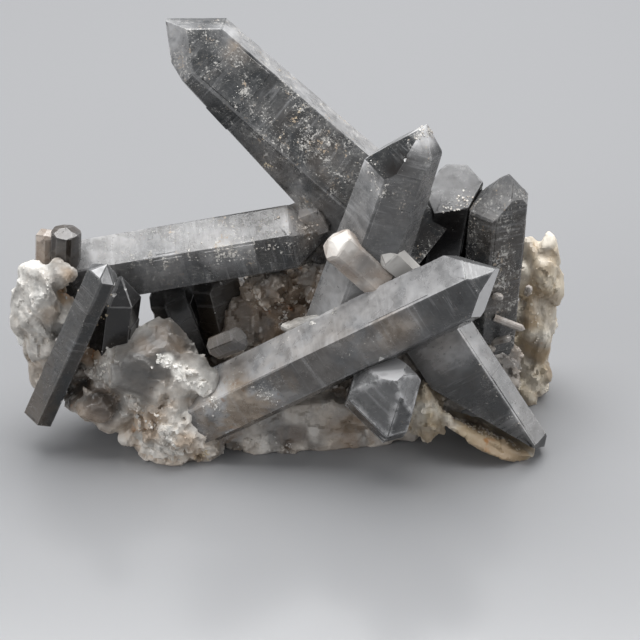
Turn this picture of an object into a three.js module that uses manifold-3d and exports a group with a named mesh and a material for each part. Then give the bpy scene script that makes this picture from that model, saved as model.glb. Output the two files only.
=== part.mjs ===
// Morion quartz cluster: smoky quartz crystals that grew together from a rough base of milky
// and pale brown quartz. It is one natural piece, so it is one solid.
// Millimetres, +Z up. The origin is on the flat cut under the base, at the centre of the
// cluster's box seen from above. The long front crystal lies across the -Y side.

import * as THREE from 'three';
import { mergeVertices } from 'three/addons/utils/BufferGeometryUtils.js';
import Module from 'manifold-3d';

const wasm = await Module();
wasm.setup();

// Middle of the finished cluster's box, in the coordinates that the crystals and lumps are given in.
const BOX_MIDDLE = { x: 0.28, y: -2.52 };

// ---- Driving dimensions of every crystal ----

const PRISM_SIDES = 6; // a quartz prism has six sides, 60 degrees apart
const POINT_ANGLE = 38.2; // degrees between a side's normal and the normal of the point face over it
const BLANK_HALF_WIDTH = 60; // half the width of the block that a crystal is cleaved from
const BLANK_SPARE_LENGTH = 20; // length of that block past the crystal's tip

// ---- Driving dimensions of every lump ----

const BLOCK_FLATS = 11; // broken flats round one block of a lump
const FLAT_NEAREST = 0.62; // nearest flat, as a share of the block's half size
const FLAT_SPREAD = 0.34; // how much further out the other flats may lie
const GOLDEN_ANGLE = 2.399963; // radians, spreads directions evenly round a ball
const HEART_SHARE = 0.92; // size of a lump's middle block, as a share of the lump
const SHOULDER_SHARE = 0.5; // size of the smaller blocks round it
const SHOULDER_REACH = 0.58; // how far out their centres are, as a share of the lump

// ---- The crystals ----
// root and tip are the ends of the axis. sides holds the distances from the axis to the six
// sides, halfway along, repeated where fewer are given. roll turns the first side about the
// axis, in degrees. taper leans every side inwards, and leans adds to it on single sides.
// ends moves single point faces outwards along the axis. cut is a broken face across the crystal.

const CRYSTALS = {
  spire: {
    root: [44, -2, 61], tip: [-39, 22, 132], roll: 243,
    sides: [14.5, 11.5, 13], taper: 0.8, leans: { 5: 6 }, ends: { 0: 3, 1: 13, 2: 3, 3: 5, 4: 9, 5: 1 },
  },
  leftBeam: {
    root: [-76, -3, 51], tip: [14.5, -5, 70.5], roll: 206, sides: [10.5, 10, 10.5],
    cut: { normal: [-0.75, 0.65, 0.1], through: [-75, -3, 58] },
  },
  beamCap: { root: [-10, -1, 64], tip: [15, -3, 77], roll: 196, sides: [6, 5.5, 6.5], pointAngle: 60 },
  centreBlade: {
    root: [18, -17, 37.5], tip: [40.5, -13, 116.5], roll: 211,
    sides: [11, 11.5, 11], taper: 1.5, ends: { 0: -4, 1: 0, 2: 4, 3: 5, 4: 3, 5: -4 },
  },
  darkStump: {
    root: [50, -3, 53], tip: [56.5, 3, 95.5], roll: 208, sides: [8, 6.5, 7.5],
    cut: { normal: [-0.15, -0.55, 0.82], through: [54, -4, 80] },
  },
  rightBlade: {
    root: [65, -9, 9], tip: [69.5, -3, 90], roll: 234,
    sides: [9, 8, 9.5], taper: 0.5, ends: { 0: -1, 1: 4, 2: 4, 3: 3 },
  },
  frontBeam: {
    root: [-32.5, -29, 12], tip: [67.5, -37, 76.5], roll: 198,
    sides: [9.5, 9.5, 11], ends: { 0: 4, 1: 5 },
  },
  slantBlade: {
    root: [42, -17, 48], tip: [83, -37, -12.5], roll: 165, sides: [12.5, 7.5, 11.5],
    cut: { normal: [-0.49, -0.21, -0.845], through: [46, -30, 24.5] },
  },
  frontStub: {
    root: [33, -31, 22], tip: [35, -52, 43], roll: 47,
    sides: [7.5, 9.5, 13.5, 13, 15, 8], ends: { 0: 2, 2: 3, 4: 3 },
  },
  palePeg: { root: [29, -25, 62.5], tip: [12.5, -26, 80.5], roll: 246, sides: [6, 6, 6.5, 6, 6, 4], pointAngle: 62 },
  clearPeg: { root: [40.5, -21, 61], tip: [28.5, -25, 77.5], roll: 232, sides: [4.5, 4, 4.5] },
  waterDrop: { root: [-29, -30, 38], tip: [-13.5, -32, 47.5], roll: 177, sides: [4.5, 4.5, 4], pointAngle: 48 },
  leftSlat: { root: [-84, -29, 11.5], tip: [-58.5, -29, 73], roll: 228, sides: [4, 5, 5], pointAngle: 48 },
  darkTooth: { root: [-60, -21, 28], tip: [-55, -21, 63], roll: 220, sides: [7, 6.5, 6.5] },
  shadeTooth: { root: [-33, -3, 19], tip: [-43.5, 3, 50], roll: 233, sides: [8.5, 8, 6.5] },
  leftStub: { root: [-74.5, -9, 55], tip: [-73, -9, 75], roll: 224, sides: [4.8, 4.6, 4.8], pointAngle: 66 },
  paleStub: { root: [-81, -7, 53], tip: [-80, -5, 71.5], roll: 223, sides: [3.8, 3.5, 3.5], pointAngle: 62 },
  backTooth: { root: [-19, -1, 20], tip: [-27, 7, 55], roll: 236, sides: [9.5, 8, 8] },
  farLow: { root: [-14, 10, 22], tip: [-30, 47, 36], roll: 12, sides: [8.5, 8, 7.5] },
  farMiddle: { root: [12, 8, 28], tip: [21, 48, 50], roll: 25, sides: [7, 8, 7.5] },
  farRight: { root: [48, 6, 18], tip: [62, 44, 26], roll: 40, sides: [6.5, 6, 7] },
  farSmall: { root: [-2, 14, 18], tip: [-8, 42, 14], roll: 5, sides: [4.5, 4.5, 4] },
  farStub: { root: [30, 12, 40], tip: [40, 34, 62], roll: 15, sides: [5, 4.5, 5] },
};

// Thin needles that stand out of the right crystal and the yellow-brown lumps.
const NEEDLE_SIDE = 1.2;
const NEEDLES = [
  { root: [68, -15, 42], tip: [78.5, -17, 38.5] },
  { root: [67, -14, 31], tip: [74, -18, 36] },
  { root: [68, -14, 50], tip: [70, -19, 53] },
  { root: [70, -10, 22], tip: [76, -15, 24] },
  { root: [80, 2, 40], tip: [80, -6, 48] },
];

// ---- The lumps of the base ----
// at is the centre and size the half sizes. turn is the lean about the Y axis, in degrees.
// blocks is the number of smaller blocks round the lump's middle one. flats is how many flats each
// block has: few make it angular, many make it round. cuts are broken faces across the whole lump.

// Broken face that keeps the far side low, so there is a gap under the left crystal.
const SADDLE = { normal: [0, 0.57, 0.82], through: [-50, -10, 34] };

const LUMPS = [
  { at: [9, 6, 19], size: [45, 27, 25], seed: 11, blocks: 11 },
  { at: [-42, -1, 11], size: [20, 24, 14], seed: 18, blocks: 7, cuts: [SADDLE] },
  { at: [44, -4, 18], size: [36, 23, 23], seed: 12, blocks: 9 },
  { at: [-61, -14, 28], size: [21, 14, 17], seed: 13, blocks: 9, cuts: [SADDLE] },
  { at: [22, 3, 46], size: [27, 17, 22], seed: 14, blocks: 7 },
  { at: [-82, -17, 47], size: [11, 12, 19], seed: 1, blocks: 7 },
  { at: [-80, -19, 31], size: [9, 10, 15], seed: 22, blocks: 5 },
  { at: [-76, -17, 61], size: [6.5, 6, 5.5], seed: 19, blocks: 4, flats: 20 },
  { at: [-63, -25, 16], size: [14, 13, 11], seed: 3, blocks: 7, flats: 18 },
  { at: [-39, -31, 8], size: [17, 12, 17], seed: 4, blocks: 12 },
  {
    at: [-5, -18, 6], size: [44, 25, 13], seed: 5, blocks: 12, flats: 14,
    cuts: [{ normal: [0.13, -0.93, 0.34], through: [4, -34, 0] }, { normal: [0, -0.3, 0.95], through: [4, -30, 15] }],
  },
  { at: [38, -20, 9], size: [18, 12, 11], seed: 15, blocks: 6, flats: 14 },
  {
    at: [-47, -26, 29], size: [18, 14, 17], seed: 6, blocks: 6,
    cuts: [{ normal: [-0.25, -0.85, 0.45], through: [-47.5, -37, 37.5] }],
  },
  { at: [-35, -30, 27], size: [11, 10, 13], seed: 20, blocks: 4, flats: 14 },
  { at: [6, -27, 42], size: [10, 7, 7], seed: 16, blocks: 3, flats: 18 },
  { at: [84.5, 7, 45], size: [9, 10, 16], seed: 7, blocks: 7, flats: 20 },
  { at: [83, 5, 23], size: [9, 11, 23], seed: 8, blocks: 8, flats: 20 },
  { at: [82, 1, 6], size: [9, 10, 12], seed: 9, blocks: 5, flats: 18 },
  { at: [69, -33, 5.5], size: [24, 8, 4], turn: 27, seed: 10, blocks: 8, flats: 16 },
  { at: [45, -30, 15], size: [7.5, 8, 12], seed: 17, blocks: 5 },
  { at: [-6, -2, 45], size: [12, 9, 10], seed: 21, blocks: 5 },
];

// ---- Colour and finish ----

const SMOKY_QUARTZ = new THREE.MeshStandardMaterial({ color: 0x4b4d50, roughness: 0.25, metalness: 0 });

/** Makes a solid of a closed three.js geometry. */
function solidOf(geometry) {
  geometry.deleteAttribute('normal');
  geometry.deleteAttribute('uv');
  const merged = mergeVertices(geometry);
  return new wasm.Manifold(new wasm.Mesh({
    numProp: 3,
    vertProperties: new Float32Array(merged.attributes.position.array),
    triVerts: new Uint32Array(merged.index.array),
  }));
}

/** Cuts off what lies outside a plane, as a crystal cleaves. */
function cleave(solid, plane) {
  return solid.trimByPlane(plane.normal.clone().negate().toArray(), plane.constant);
}

/** Takes off what lies outside a broken face. */
function breakAcross(solid, { normal, through }) {
  return cleave(solid, planeThrough(new THREE.Vector3(...normal), new THREE.Vector3(...through)));
}

/** The plane with this outward normal, through this point. */
function planeThrough(normal, point) {
  return new THREE.Plane().setFromNormalAndCoplanarPoint(normal.normalize(), point);
}

/** A quartz crystal: a six-sided prism with a six-faced point, both cleaved from a block. */
function crystal({ root, tip, roll, sides, taper = 0, leans = {}, ends = {}, pointAngle = POINT_ANGLE, cut }) {
  const base = new THREE.Vector3(...root);
  const axis = new THREE.Vector3(...tip).sub(base);
  const length = axis.length();
  const place = new THREE.Matrix4().compose(
    base,
    new THREE.Quaternion().setFromUnitVectors(new THREE.Vector3(0, 0, 1), axis.normalize()),
    new THREE.Vector3(1, 1, 1),
  );
  const blankLength = length + BLANK_SPARE_LENGTH;
  const blank = new THREE.BoxGeometry(2 * BLANK_HALF_WIDTH, 2 * BLANK_HALF_WIDTH, blankLength);
  blank.translate(0, 0, blankLength / 2);
  blank.applyMatrix4(place);
  let solid = solidOf(blank);

  for (let side = 0; side < PRISM_SIDES; side += 1) {
    const turn = THREE.MathUtils.degToRad(roll + (side * 360) / PRISM_SIDES);
    const outwards = new THREE.Vector3(Math.cos(turn), Math.sin(turn), 0);

    const lean = THREE.MathUtils.degToRad(taper + (leans[side] ?? 0));
    const sideNormal = outwards.clone().multiplyScalar(Math.cos(lean)).setZ(Math.sin(lean));
    const sideMiddle = outwards.clone().multiplyScalar(sides[side % sides.length]).setZ(length / 2);
    solid = cleave(solid, planeThrough(sideNormal, sideMiddle).applyMatrix4(place));

    const slope = THREE.MathUtils.degToRad(pointAngle);
    const pointNormal = outwards.clone().multiplyScalar(Math.cos(slope)).setZ(Math.sin(slope));
    const apex = new THREE.Vector3(0, 0, length + (ends[side] ?? 0));
    solid = cleave(solid, planeThrough(pointNormal, apex).applyMatrix4(place));
  }
  return cut ? breakAcross(solid, cut) : solid;
}

/** A number from 0 to 1 that looks random and is always the same for the same input. */
function scatter(value) {
  const wave = Math.sin(value) * 43758.5453;
  return wave - Math.floor(wave);
}

/** One of count directions that are spread evenly round a ball; seed turns them all. */
function spreadDirection(index, count, seed) {
  const height = 1 - (2 * (index + 0.5)) / count;
  const ring = Math.sqrt(1 - height * height);
  const turn = GOLDEN_ANGLE * index + seed * 1.7;
  return new THREE.Vector3(ring * Math.cos(turn), ring * Math.sin(turn), height);
}

/** One block of broken quartz: a cuboid of half sizes size, cleaved to a number of flats. */
function brokenBlock(size, place, seed, flats) {
  const blank = new THREE.BoxGeometry(2, 2, 2);
  const stretch = new THREE.Matrix4().makeScale(...size).premultiply(place);
  blank.applyMatrix4(stretch);
  let solid = solidOf(blank);
  for (let flat = 0; flat < flats; flat += 1) {
    const facing = spreadDirection(flat, flats, seed);
    const distance = FLAT_NEAREST + FLAT_SPREAD * scatter(seed * 12.9898 + flat * 78.233);
    const plane = planeThrough(facing, facing.clone().multiplyScalar(distance));
    solid = cleave(solid, plane.applyMatrix4(stretch));
  }
  return solid;
}

/** A rough lump: one large angular block with smaller ones joined all round it. */
function lump({ at, size, seed, blocks, turn = 0, flats = BLOCK_FLATS, cuts = [] }) {
  const lean = new THREE.Matrix4().makeRotationY(THREE.MathUtils.degToRad(turn)).setPosition(...at);
  let solid = brokenBlock(size.map((half) => half * HEART_SHARE), lean, seed, flats);
  for (let block = 0; block < blocks; block += 1) {
    const outwards = spreadDirection(block, blocks, seed + 0.5).multiplyScalar(SHOULDER_REACH);
    const place = lean.clone().multiply(
      new THREE.Matrix4().makeTranslation(outwards.multiply(new THREE.Vector3(...size))),
    );
    const share = SHOULDER_SHARE * (0.8 + 0.4 * scatter(seed * 3.3 + block * 5.7));
    solid = solid.add(brokenBlock(size.map((half) => half * share), place, seed * 31 + block, flats));
  }
  return cuts.reduce(breakAcross, solid);
}

/** The whole cluster: crystals, needles and lumps joined, cut flat underneath and centred. */
function quartzCluster() {
  const needles = NEEDLES.map((ends) => ({ ...ends, roll: 0, sides: [NEEDLE_SIDE] }));
  const pieces = [...Object.values(CRYSTALS), ...needles].map(crystal).concat(LUMPS.map(lump));
  const grown = pieces.reduce((joined, piece) => joined.add(piece));
  const standing = grown.trimByPlane([0, 0, 1], 0).getMesh();

  const geometry = new THREE.BufferGeometry();
  geometry.setAttribute('position', new THREE.BufferAttribute(standing.vertProperties, 3));
  geometry.setIndex(new THREE.BufferAttribute(standing.triVerts, 1));
  geometry.translate(-BOX_MIDDLE.x, -BOX_MIDDLE.y, 0);
  geometry.computeVertexNormals();
  const mesh = new THREE.Mesh(geometry, SMOKY_QUARTZ);
  mesh.name = 'quartz_cluster';
  return mesh;
}

const cluster = new THREE.Group();
cluster.add(quartzCluster());

export default cluster;
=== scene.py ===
"""Looks of the morion quartz cluster.

Smoky crystals are cleaved from blanks, worn along their edges and joined in one body. The rough base
under them is joined from broken blocks, with crusts and grains on top. A pale floor, soft lights and a
camera complete the scene.
"""

import logging
import math
from collections.abc import Callable
from dataclasses import dataclass, field
from enum import Enum
from random import Random

import bmesh
import bpy
from mathutils import Matrix, Vector, noise
from mathutils.bvhtree import BVHTree


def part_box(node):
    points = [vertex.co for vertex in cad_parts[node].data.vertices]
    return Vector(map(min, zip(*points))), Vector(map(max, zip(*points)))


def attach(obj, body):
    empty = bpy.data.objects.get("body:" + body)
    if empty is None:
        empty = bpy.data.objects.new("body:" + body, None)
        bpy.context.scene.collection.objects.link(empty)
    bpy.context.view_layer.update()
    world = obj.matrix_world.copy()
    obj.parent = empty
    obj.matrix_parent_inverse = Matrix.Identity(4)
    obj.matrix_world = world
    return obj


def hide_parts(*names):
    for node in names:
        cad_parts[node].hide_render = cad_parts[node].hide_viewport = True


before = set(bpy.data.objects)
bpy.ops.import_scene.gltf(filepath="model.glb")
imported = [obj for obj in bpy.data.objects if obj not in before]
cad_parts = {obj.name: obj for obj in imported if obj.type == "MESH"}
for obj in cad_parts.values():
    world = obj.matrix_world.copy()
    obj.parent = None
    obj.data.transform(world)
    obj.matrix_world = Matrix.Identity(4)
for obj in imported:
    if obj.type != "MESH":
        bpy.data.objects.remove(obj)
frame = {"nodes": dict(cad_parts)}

log = logging.getLogger("quartz_cluster")

MM = 0.001
CAD_NODE = "quartz_cluster"
BODY = "root"

# The crystals and lumps are given in growth millimetres; this puts them in the part's own frame.
BOX_MIDDLE = (0.28, -2.52)
TO_FRAME = Matrix.Scale(MM, 4) @ Matrix.Translation((-BOX_MIDDLE[0], -BOX_MIDDLE[1], 0.0))
FROM_FRAME = TO_FRAME.inverted()

GOLDEN_ANGLE = 2.399963
UP = Vector((0.0, 0.0, 1.0))

# Names of the values that every face corner carries into the materials.
GROWN = "grown"  # place in the crystal's own frame, in millimetres, with the axis along z
# Frost in the look also paints light on crystal faces that look up; milk below nothing darkens, in places as
# painted shade.
LOOK = "look"  # how milky, how stained and how frosted
EDGE = "edge"  # one on an edge, falling to nothing inside a face
DUST = "dust"  # how thickly specks lie

FACE_FROST = "frost"  # how frosted a face is, while its body is being made


class Stuff(Enum):
    """The kinds of quartz, each with its own material."""

    SMOKY = "smoky_crystal"
    PALE = "pale_crystal"
    MILKY = "milky_base"
    STAINED = "stained_base"
    HONEY = "honey_lump"
    CHIPPED = "fresh_chip"


STUFF_ORDER = list(Stuff)


class Skin(Enum):
    """The kinds of broken surface on the lumps of the base."""

    BROKEN = "broken"
    GRANULAR = "granular"
    FIBROUS = "fibrous"
    GLASSY = "glassy"
    ROUNDED = "rounded"


SKIN_ORDER = list(Skin)

Triple = tuple[float, float, float]
Pair = tuple[float, float]
Finish = tuple[Vector, float]  # look and dust of one corner
Socket = bpy.types.NodeSocket
Value = Socket | float | Triple  # what a node's input can be given


# ---------------------------------------------------------------------------------------------
# Objects and meshes
# ---------------------------------------------------------------------------------------------


def show(name: str, data: bpy.types.ID) -> bpy.types.Object:
    """Makes an object and links it to the scene.

    Args:
        name: Name of the object.
        data: Its mesh, lamp or camera.

    Returns:
        The object.
    """
    made = bpy.data.objects.new(name, data)
    bpy.context.scene.collection.objects.link(made)
    return made


def discard(piece: bpy.types.Object) -> None:
    """Removes an object and its mesh.

    Args:
        piece: The object.
    """
    spent = piece.data
    bpy.data.objects.remove(piece)
    bpy.data.meshes.remove(spent)


def evaluated_mesh(piece: bpy.types.Object, name: str) -> bpy.types.Mesh:
    """Applies an object's modifiers.

    Args:
        piece: The object, which stays as it is.
        name: Name of the new mesh.

    Returns:
        The new mesh.
    """
    graph = bpy.context.evaluated_depsgraph_get()
    mesh = bpy.data.meshes.new_from_object(piece.evaluated_get(graph))
    mesh.name = name
    return mesh


def add_materials(mesh: bpy.types.Mesh) -> None:
    """Adds every kind of quartz to a mesh, in the order of STUFF_ORDER.

    Args:
        mesh: The mesh, which has no materials yet.
    """
    for stuff in STUFF_ORDER:
        mesh.materials.append(MATERIALS[stuff])


def add_corner_layers(bm: bmesh.types.BMesh) -> None:
    """Adds the layers for the values that every face corner carries.

    Args:
        bm: The mesh in the making.
    """
    for name in (GROWN, LOOK):
        bm.loops.layers.float_vector.new(name)
    for name in (EDGE, DUST):
        bm.loops.layers.float.new(name)


def fading(at: Vector, middle: Triple, reach: float) -> float:
    """One in the middle of a round patch, falling to nothing at its reach."""
    far = (at - Vector(middle)).length / reach
    return (1.0 - far * far) ** 2 if far < 1.0 else 0.0


# ---------------------------------------------------------------------------------------------
# Cleaving
# ---------------------------------------------------------------------------------------------

CLEAVE_SNAP = 1e-4
SHORTEST_WORN_EDGE = 0.6
BLUNTEST_WORN_EDGE = 0.985  # cosine of the bend over an edge; a flatter one isn't worn
STRIP_LEAN_SHARE = 0.2
RIM_SHARE = 0.4  # of twice a face's area over its perimeter
NARROWEST_RIM = 0.12


@dataclass(frozen=True)
class Flat:
    """A plane that a blank is cleaved to, with the finish of the face that it leaves."""

    normal: Vector
    point: Vector
    frost: float = 0.0


@dataclass
class Body:
    """A convex body in the making, with the layers that its finish needs.

    Args:
        bm: The mesh.
        stuff: What it is made of.
    """

    bm: bmesh.types.BMesh
    stuff: Stuff

    @classmethod
    def blank(cls, half: Triple, middle: Triple, stuff: Stuff) -> "Body":
        """Starts from a cuboid.

        Args:
            half: Half sizes of the cuboid.
            middle: Its centre.
            stuff: What it is made of.

        Returns:
            The new body.
        """
        bm = bmesh.new()
        add_corner_layers(bm)
        bm.faces.layers.float.new(FACE_FROST)
        bmesh.ops.create_cube(bm, size=2.0, matrix=Matrix.Translation(middle) @ Matrix.Diagonal((*half, 1.0)))
        return cls(bm, stuff)

    def cleave(self, flat: Flat) -> None:
        """Cuts off what lies outside the flat and closes the cut.

        Args:
            flat: The plane to cut to.
        """
        bm = self.bm
        parts = bm.verts[:] + bm.edges[:] + bm.faces[:]
        cut = bmesh.ops.bisect_plane(
            bm, geom=parts, dist=CLEAVE_SNAP, plane_co=flat.point, plane_no=flat.normal, clear_outer=True
        )
        edges = [e for e in cut["geom_cut"] if isinstance(e, bmesh.types.BMEdge) and len(e.link_faces) < 2]
        if len(edges) < 3:
            return
        made = bmesh.ops.contextual_create(bm, geom=edges)
        frost = bm.faces.layers.float[FACE_FROST]
        for face in made["faces"]:
            face[frost] = flat.frost
            if face.normal.dot(flat.normal) < 0.0:
                face.normal_flip()

    def wear_edges(self, rng: Random, depth: Pair, tilt: float = 0.03) -> None:
        """Takes a thin, uneven strip off every edge.

        Args:
            rng: Source of the unevenness.
            depth: Least and most depth of a strip.
            tilt: How far a strip may lean along its edge.
        """
        self.bm.normal_update()
        strips: list[Flat] = []
        for edge in self.bm.edges:
            if len(edge.link_faces) != 2 or edge.calc_length() < SHORTEST_WORN_EDGE:
                continue
            one, two = (face.normal for face in edge.link_faces)
            if one.dot(two) > BLUNTEST_WORN_EDGE:
                continue
            along = (edge.verts[1].co - edge.verts[0].co).normalized()
            out = (one + two).normalized() + along * rng.uniform(-tilt, tilt) * STRIP_LEAN_SHARE
            middle = (edge.verts[0].co + edge.verts[1].co) / 2
            out.normalize()
            strips.append(Flat(out, middle - out * rng.uniform(*depth), WORN_FROST))
        for strip in strips:
            self.cleave(strip)

    def mark_rims(self, width: float, level: float = 1.0) -> None:
        """Frames every broad face with a strip, over which the edge value falls to nothing.

        Args:
            width: Widest strip.
            level: Edge value on the edges themselves.
        """
        bm = self.bm
        edge_value = bm.loops.layers.float[EDGE]
        outer = set(bm.verts)
        for face in bm.faces:
            for loop in face.loops:
                loop[edge_value] = level
        for face in bm.faces[:]:
            round_it = face.calc_perimeter()
            reach = 2.0 * face.calc_area() / round_it if round_it > 0.0 else 0.0
            strip = min(width, RIM_SHARE * reach)
            if strip < NARROWEST_RIM:
                continue
            bmesh.ops.inset_individual(bm, faces=[face], thickness=strip, depth=0.0, use_even_offset=True)
        for face in bm.faces:
            for loop in face.loops:
                loop[edge_value] = level if loop.vert in outer else 0.0

    def refine(self, along: float, across: float) -> None:
        """Adds edge loops, so that the finish can change from place to place.

        Args:
            along: Distance between loops along the Z axis.
            across: Distance between loops along the X and Y axes.
        """
        corners = [vert.co.copy() for vert in self.bm.verts]
        for axis, step in enumerate((across, across, along)):
            low = min(corner[axis] for corner in corners)
            high = max(corner[axis] for corner in corners)
            normal = Vector((0.0, 0.0, 0.0))
            normal[axis] = 1.0
            for loop in range(1, int((high - low) / step)):
                parts = self.bm.verts[:] + self.bm.edges[:] + self.bm.faces[:]
                at = normal * (low + loop * step)
                bmesh.ops.bisect_plane(self.bm, geom=parts, dist=CLEAVE_SNAP, plane_co=at, plane_no=normal)

    def finish(self, place: Matrix, look: Callable[[Vector, float], Finish], name: str) -> bpy.types.Object:
        """Gives every corner its finish, puts the body in place and makes it an object.

        Args:
            place: From the body's own frame to growth millimetres.
            look: Function of a corner's place and its face's frost that gives look and dust.
            name: Name of the object.

        Returns:
            The object, not yet linked to the scene.
        """
        bm = self.bm
        grown = bm.loops.layers.float_vector[GROWN]
        looks = bm.loops.layers.float_vector[LOOK]
        dust = bm.loops.layers.float[DUST]
        frost = bm.faces.layers.float[FACE_FROST]
        bm.verts.index_update()
        known: dict[tuple[int, float], Finish] = {}
        for face in bm.faces:
            face.material_index = STUFF_ORDER.index(self.stuff)
            face.smooth = False
            for loop in face.loops:
                key = (loop.vert.index, face[frost])
                if key not in known:
                    known[key] = look(loop.vert.co, face[frost])
                loop[grown] = loop.vert.co
                loop[looks], loop[dust] = known[key]
        bm.faces.layers.float.remove(frost)
        bmesh.ops.transform(bm, matrix=TO_FRAME @ place, verts=bm.verts[:])
        mesh = bpy.data.meshes.new(name)
        bm.to_mesh(mesh)
        bm.free()
        add_materials(mesh)
        return bpy.data.objects.new(name, mesh)


def join(name: str, bodies: list[bpy.types.Object], cut: list[bpy.types.Object]) -> bpy.types.Object:
    """Joins closed bodies in one and takes others out of it.

    Args:
        name: Name of the joined object.
        bodies: Objects to join; they are used up.
        cut: Objects to take out; they are used up.

    Returns:
        The joined object, linked to the scene.
    """
    first = bodies[0]
    bpy.context.scene.collection.objects.link(first)
    groups: list[bpy.types.Collection] = []
    for operation, objects in (("UNION", bodies[1:]), ("DIFFERENCE", cut)):
        if not objects:
            continue
        group = bpy.data.collections.new(f"{name}_{operation.lower()}")
        groups.append(group)
        for piece in objects:
            group.objects.link(piece)
        modifier = first.modifiers.new(operation, "BOOLEAN")
        modifier.operation = operation
        modifier.operand_type = "COLLECTION"
        modifier.collection = group
        modifier.solver = "MANIFOLD"
    joined = show(name, evaluated_mesh(first, name))
    for piece in bodies + cut:
        discard(piece)
    for group in groups:
        bpy.data.collections.remove(group)
    return joined


# ---------------------------------------------------------------------------------------------
# Crystals
# ---------------------------------------------------------------------------------------------

PRISM_SIDES = 6
POINT_ANGLE = 38.2
BLANK_HALF_WIDTH = 60.0
BLANK_SPARE_LENGTH = 20.0
REFINE_ALONG = 4.0
REFINE_ACROSS = 5.0
POINT_STEP = 0.02  # between the heights of the point faces, so that they don't all meet in one corner
POINT_SHARE = 0.7  # where along a crystal its point begins, as a share of the length
POINT_WEIGHT = 6.0  # millimetres that count as more length on the point's edges, where chips are likelier
WORN_FROST = 0.15
BROKEN_FROST = 0.36

# Steps that a crystal grows in layers, in millimetres or as shares of the crystal's length.
PLATE_RISE = (0.08, 0.3)
PLATE_INSET = 0.8
PLATE_START = (0.12, 0.7)
PLATE_LENGTH = (0.05, 0.28)
PLATE_SPARE_LENGTH = 4.0
PLATE_LEAN = 0.12
PLATE_FROST = 0.3
PLATE_RIM = (0.4, 0.25)


@dataclass(frozen=True)
class Cut:
    """A broken face across a crystal or a lump, in growth millimetres."""

    normal: Triple
    through: Triple

    def flat(self, place: Matrix, frost: float) -> Flat:
        """The broken face as a body sees it.

        Args:
            place: From the body's own frame to growth millimetres.
            frost: Frost of the face.

        Returns:
            The plane, in the body's own frame.
        """
        back = place.inverted()
        return Flat(back.to_3x3() @ Vector(self.normal).normalized(), back @ Vector(self.through), frost)


@dataclass(frozen=True)
class Tone:
    """How a crystal looks from its root to its tip.

    milk, stain and dust are pairs: the value at the root and the value at the tip. painted_top_light is the
    frost of a face that looks straight up, which paints light on the faces that look up. sides and points
    add frost to single sides and point faces.
    """

    milk: Pair = (0.3, 0.15)
    stain: Pair = (0.15, 0.0)
    dust: Pair = (0.1, 0.1)
    painted_top_light: float = 0.26
    sides: dict[int, float] = field(default_factory=dict)
    points: dict[int, float] = field(default_factory=dict)


@dataclass(frozen=True)
class Bloom:
    """A patch round a place, in growth millimetres, where the finish of crystals changes."""

    at: Triple
    reach: float
    milk: float = 0.0
    stain: float = 0.0
    frost: float = 0.0
    dust: float = 0.0


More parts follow.
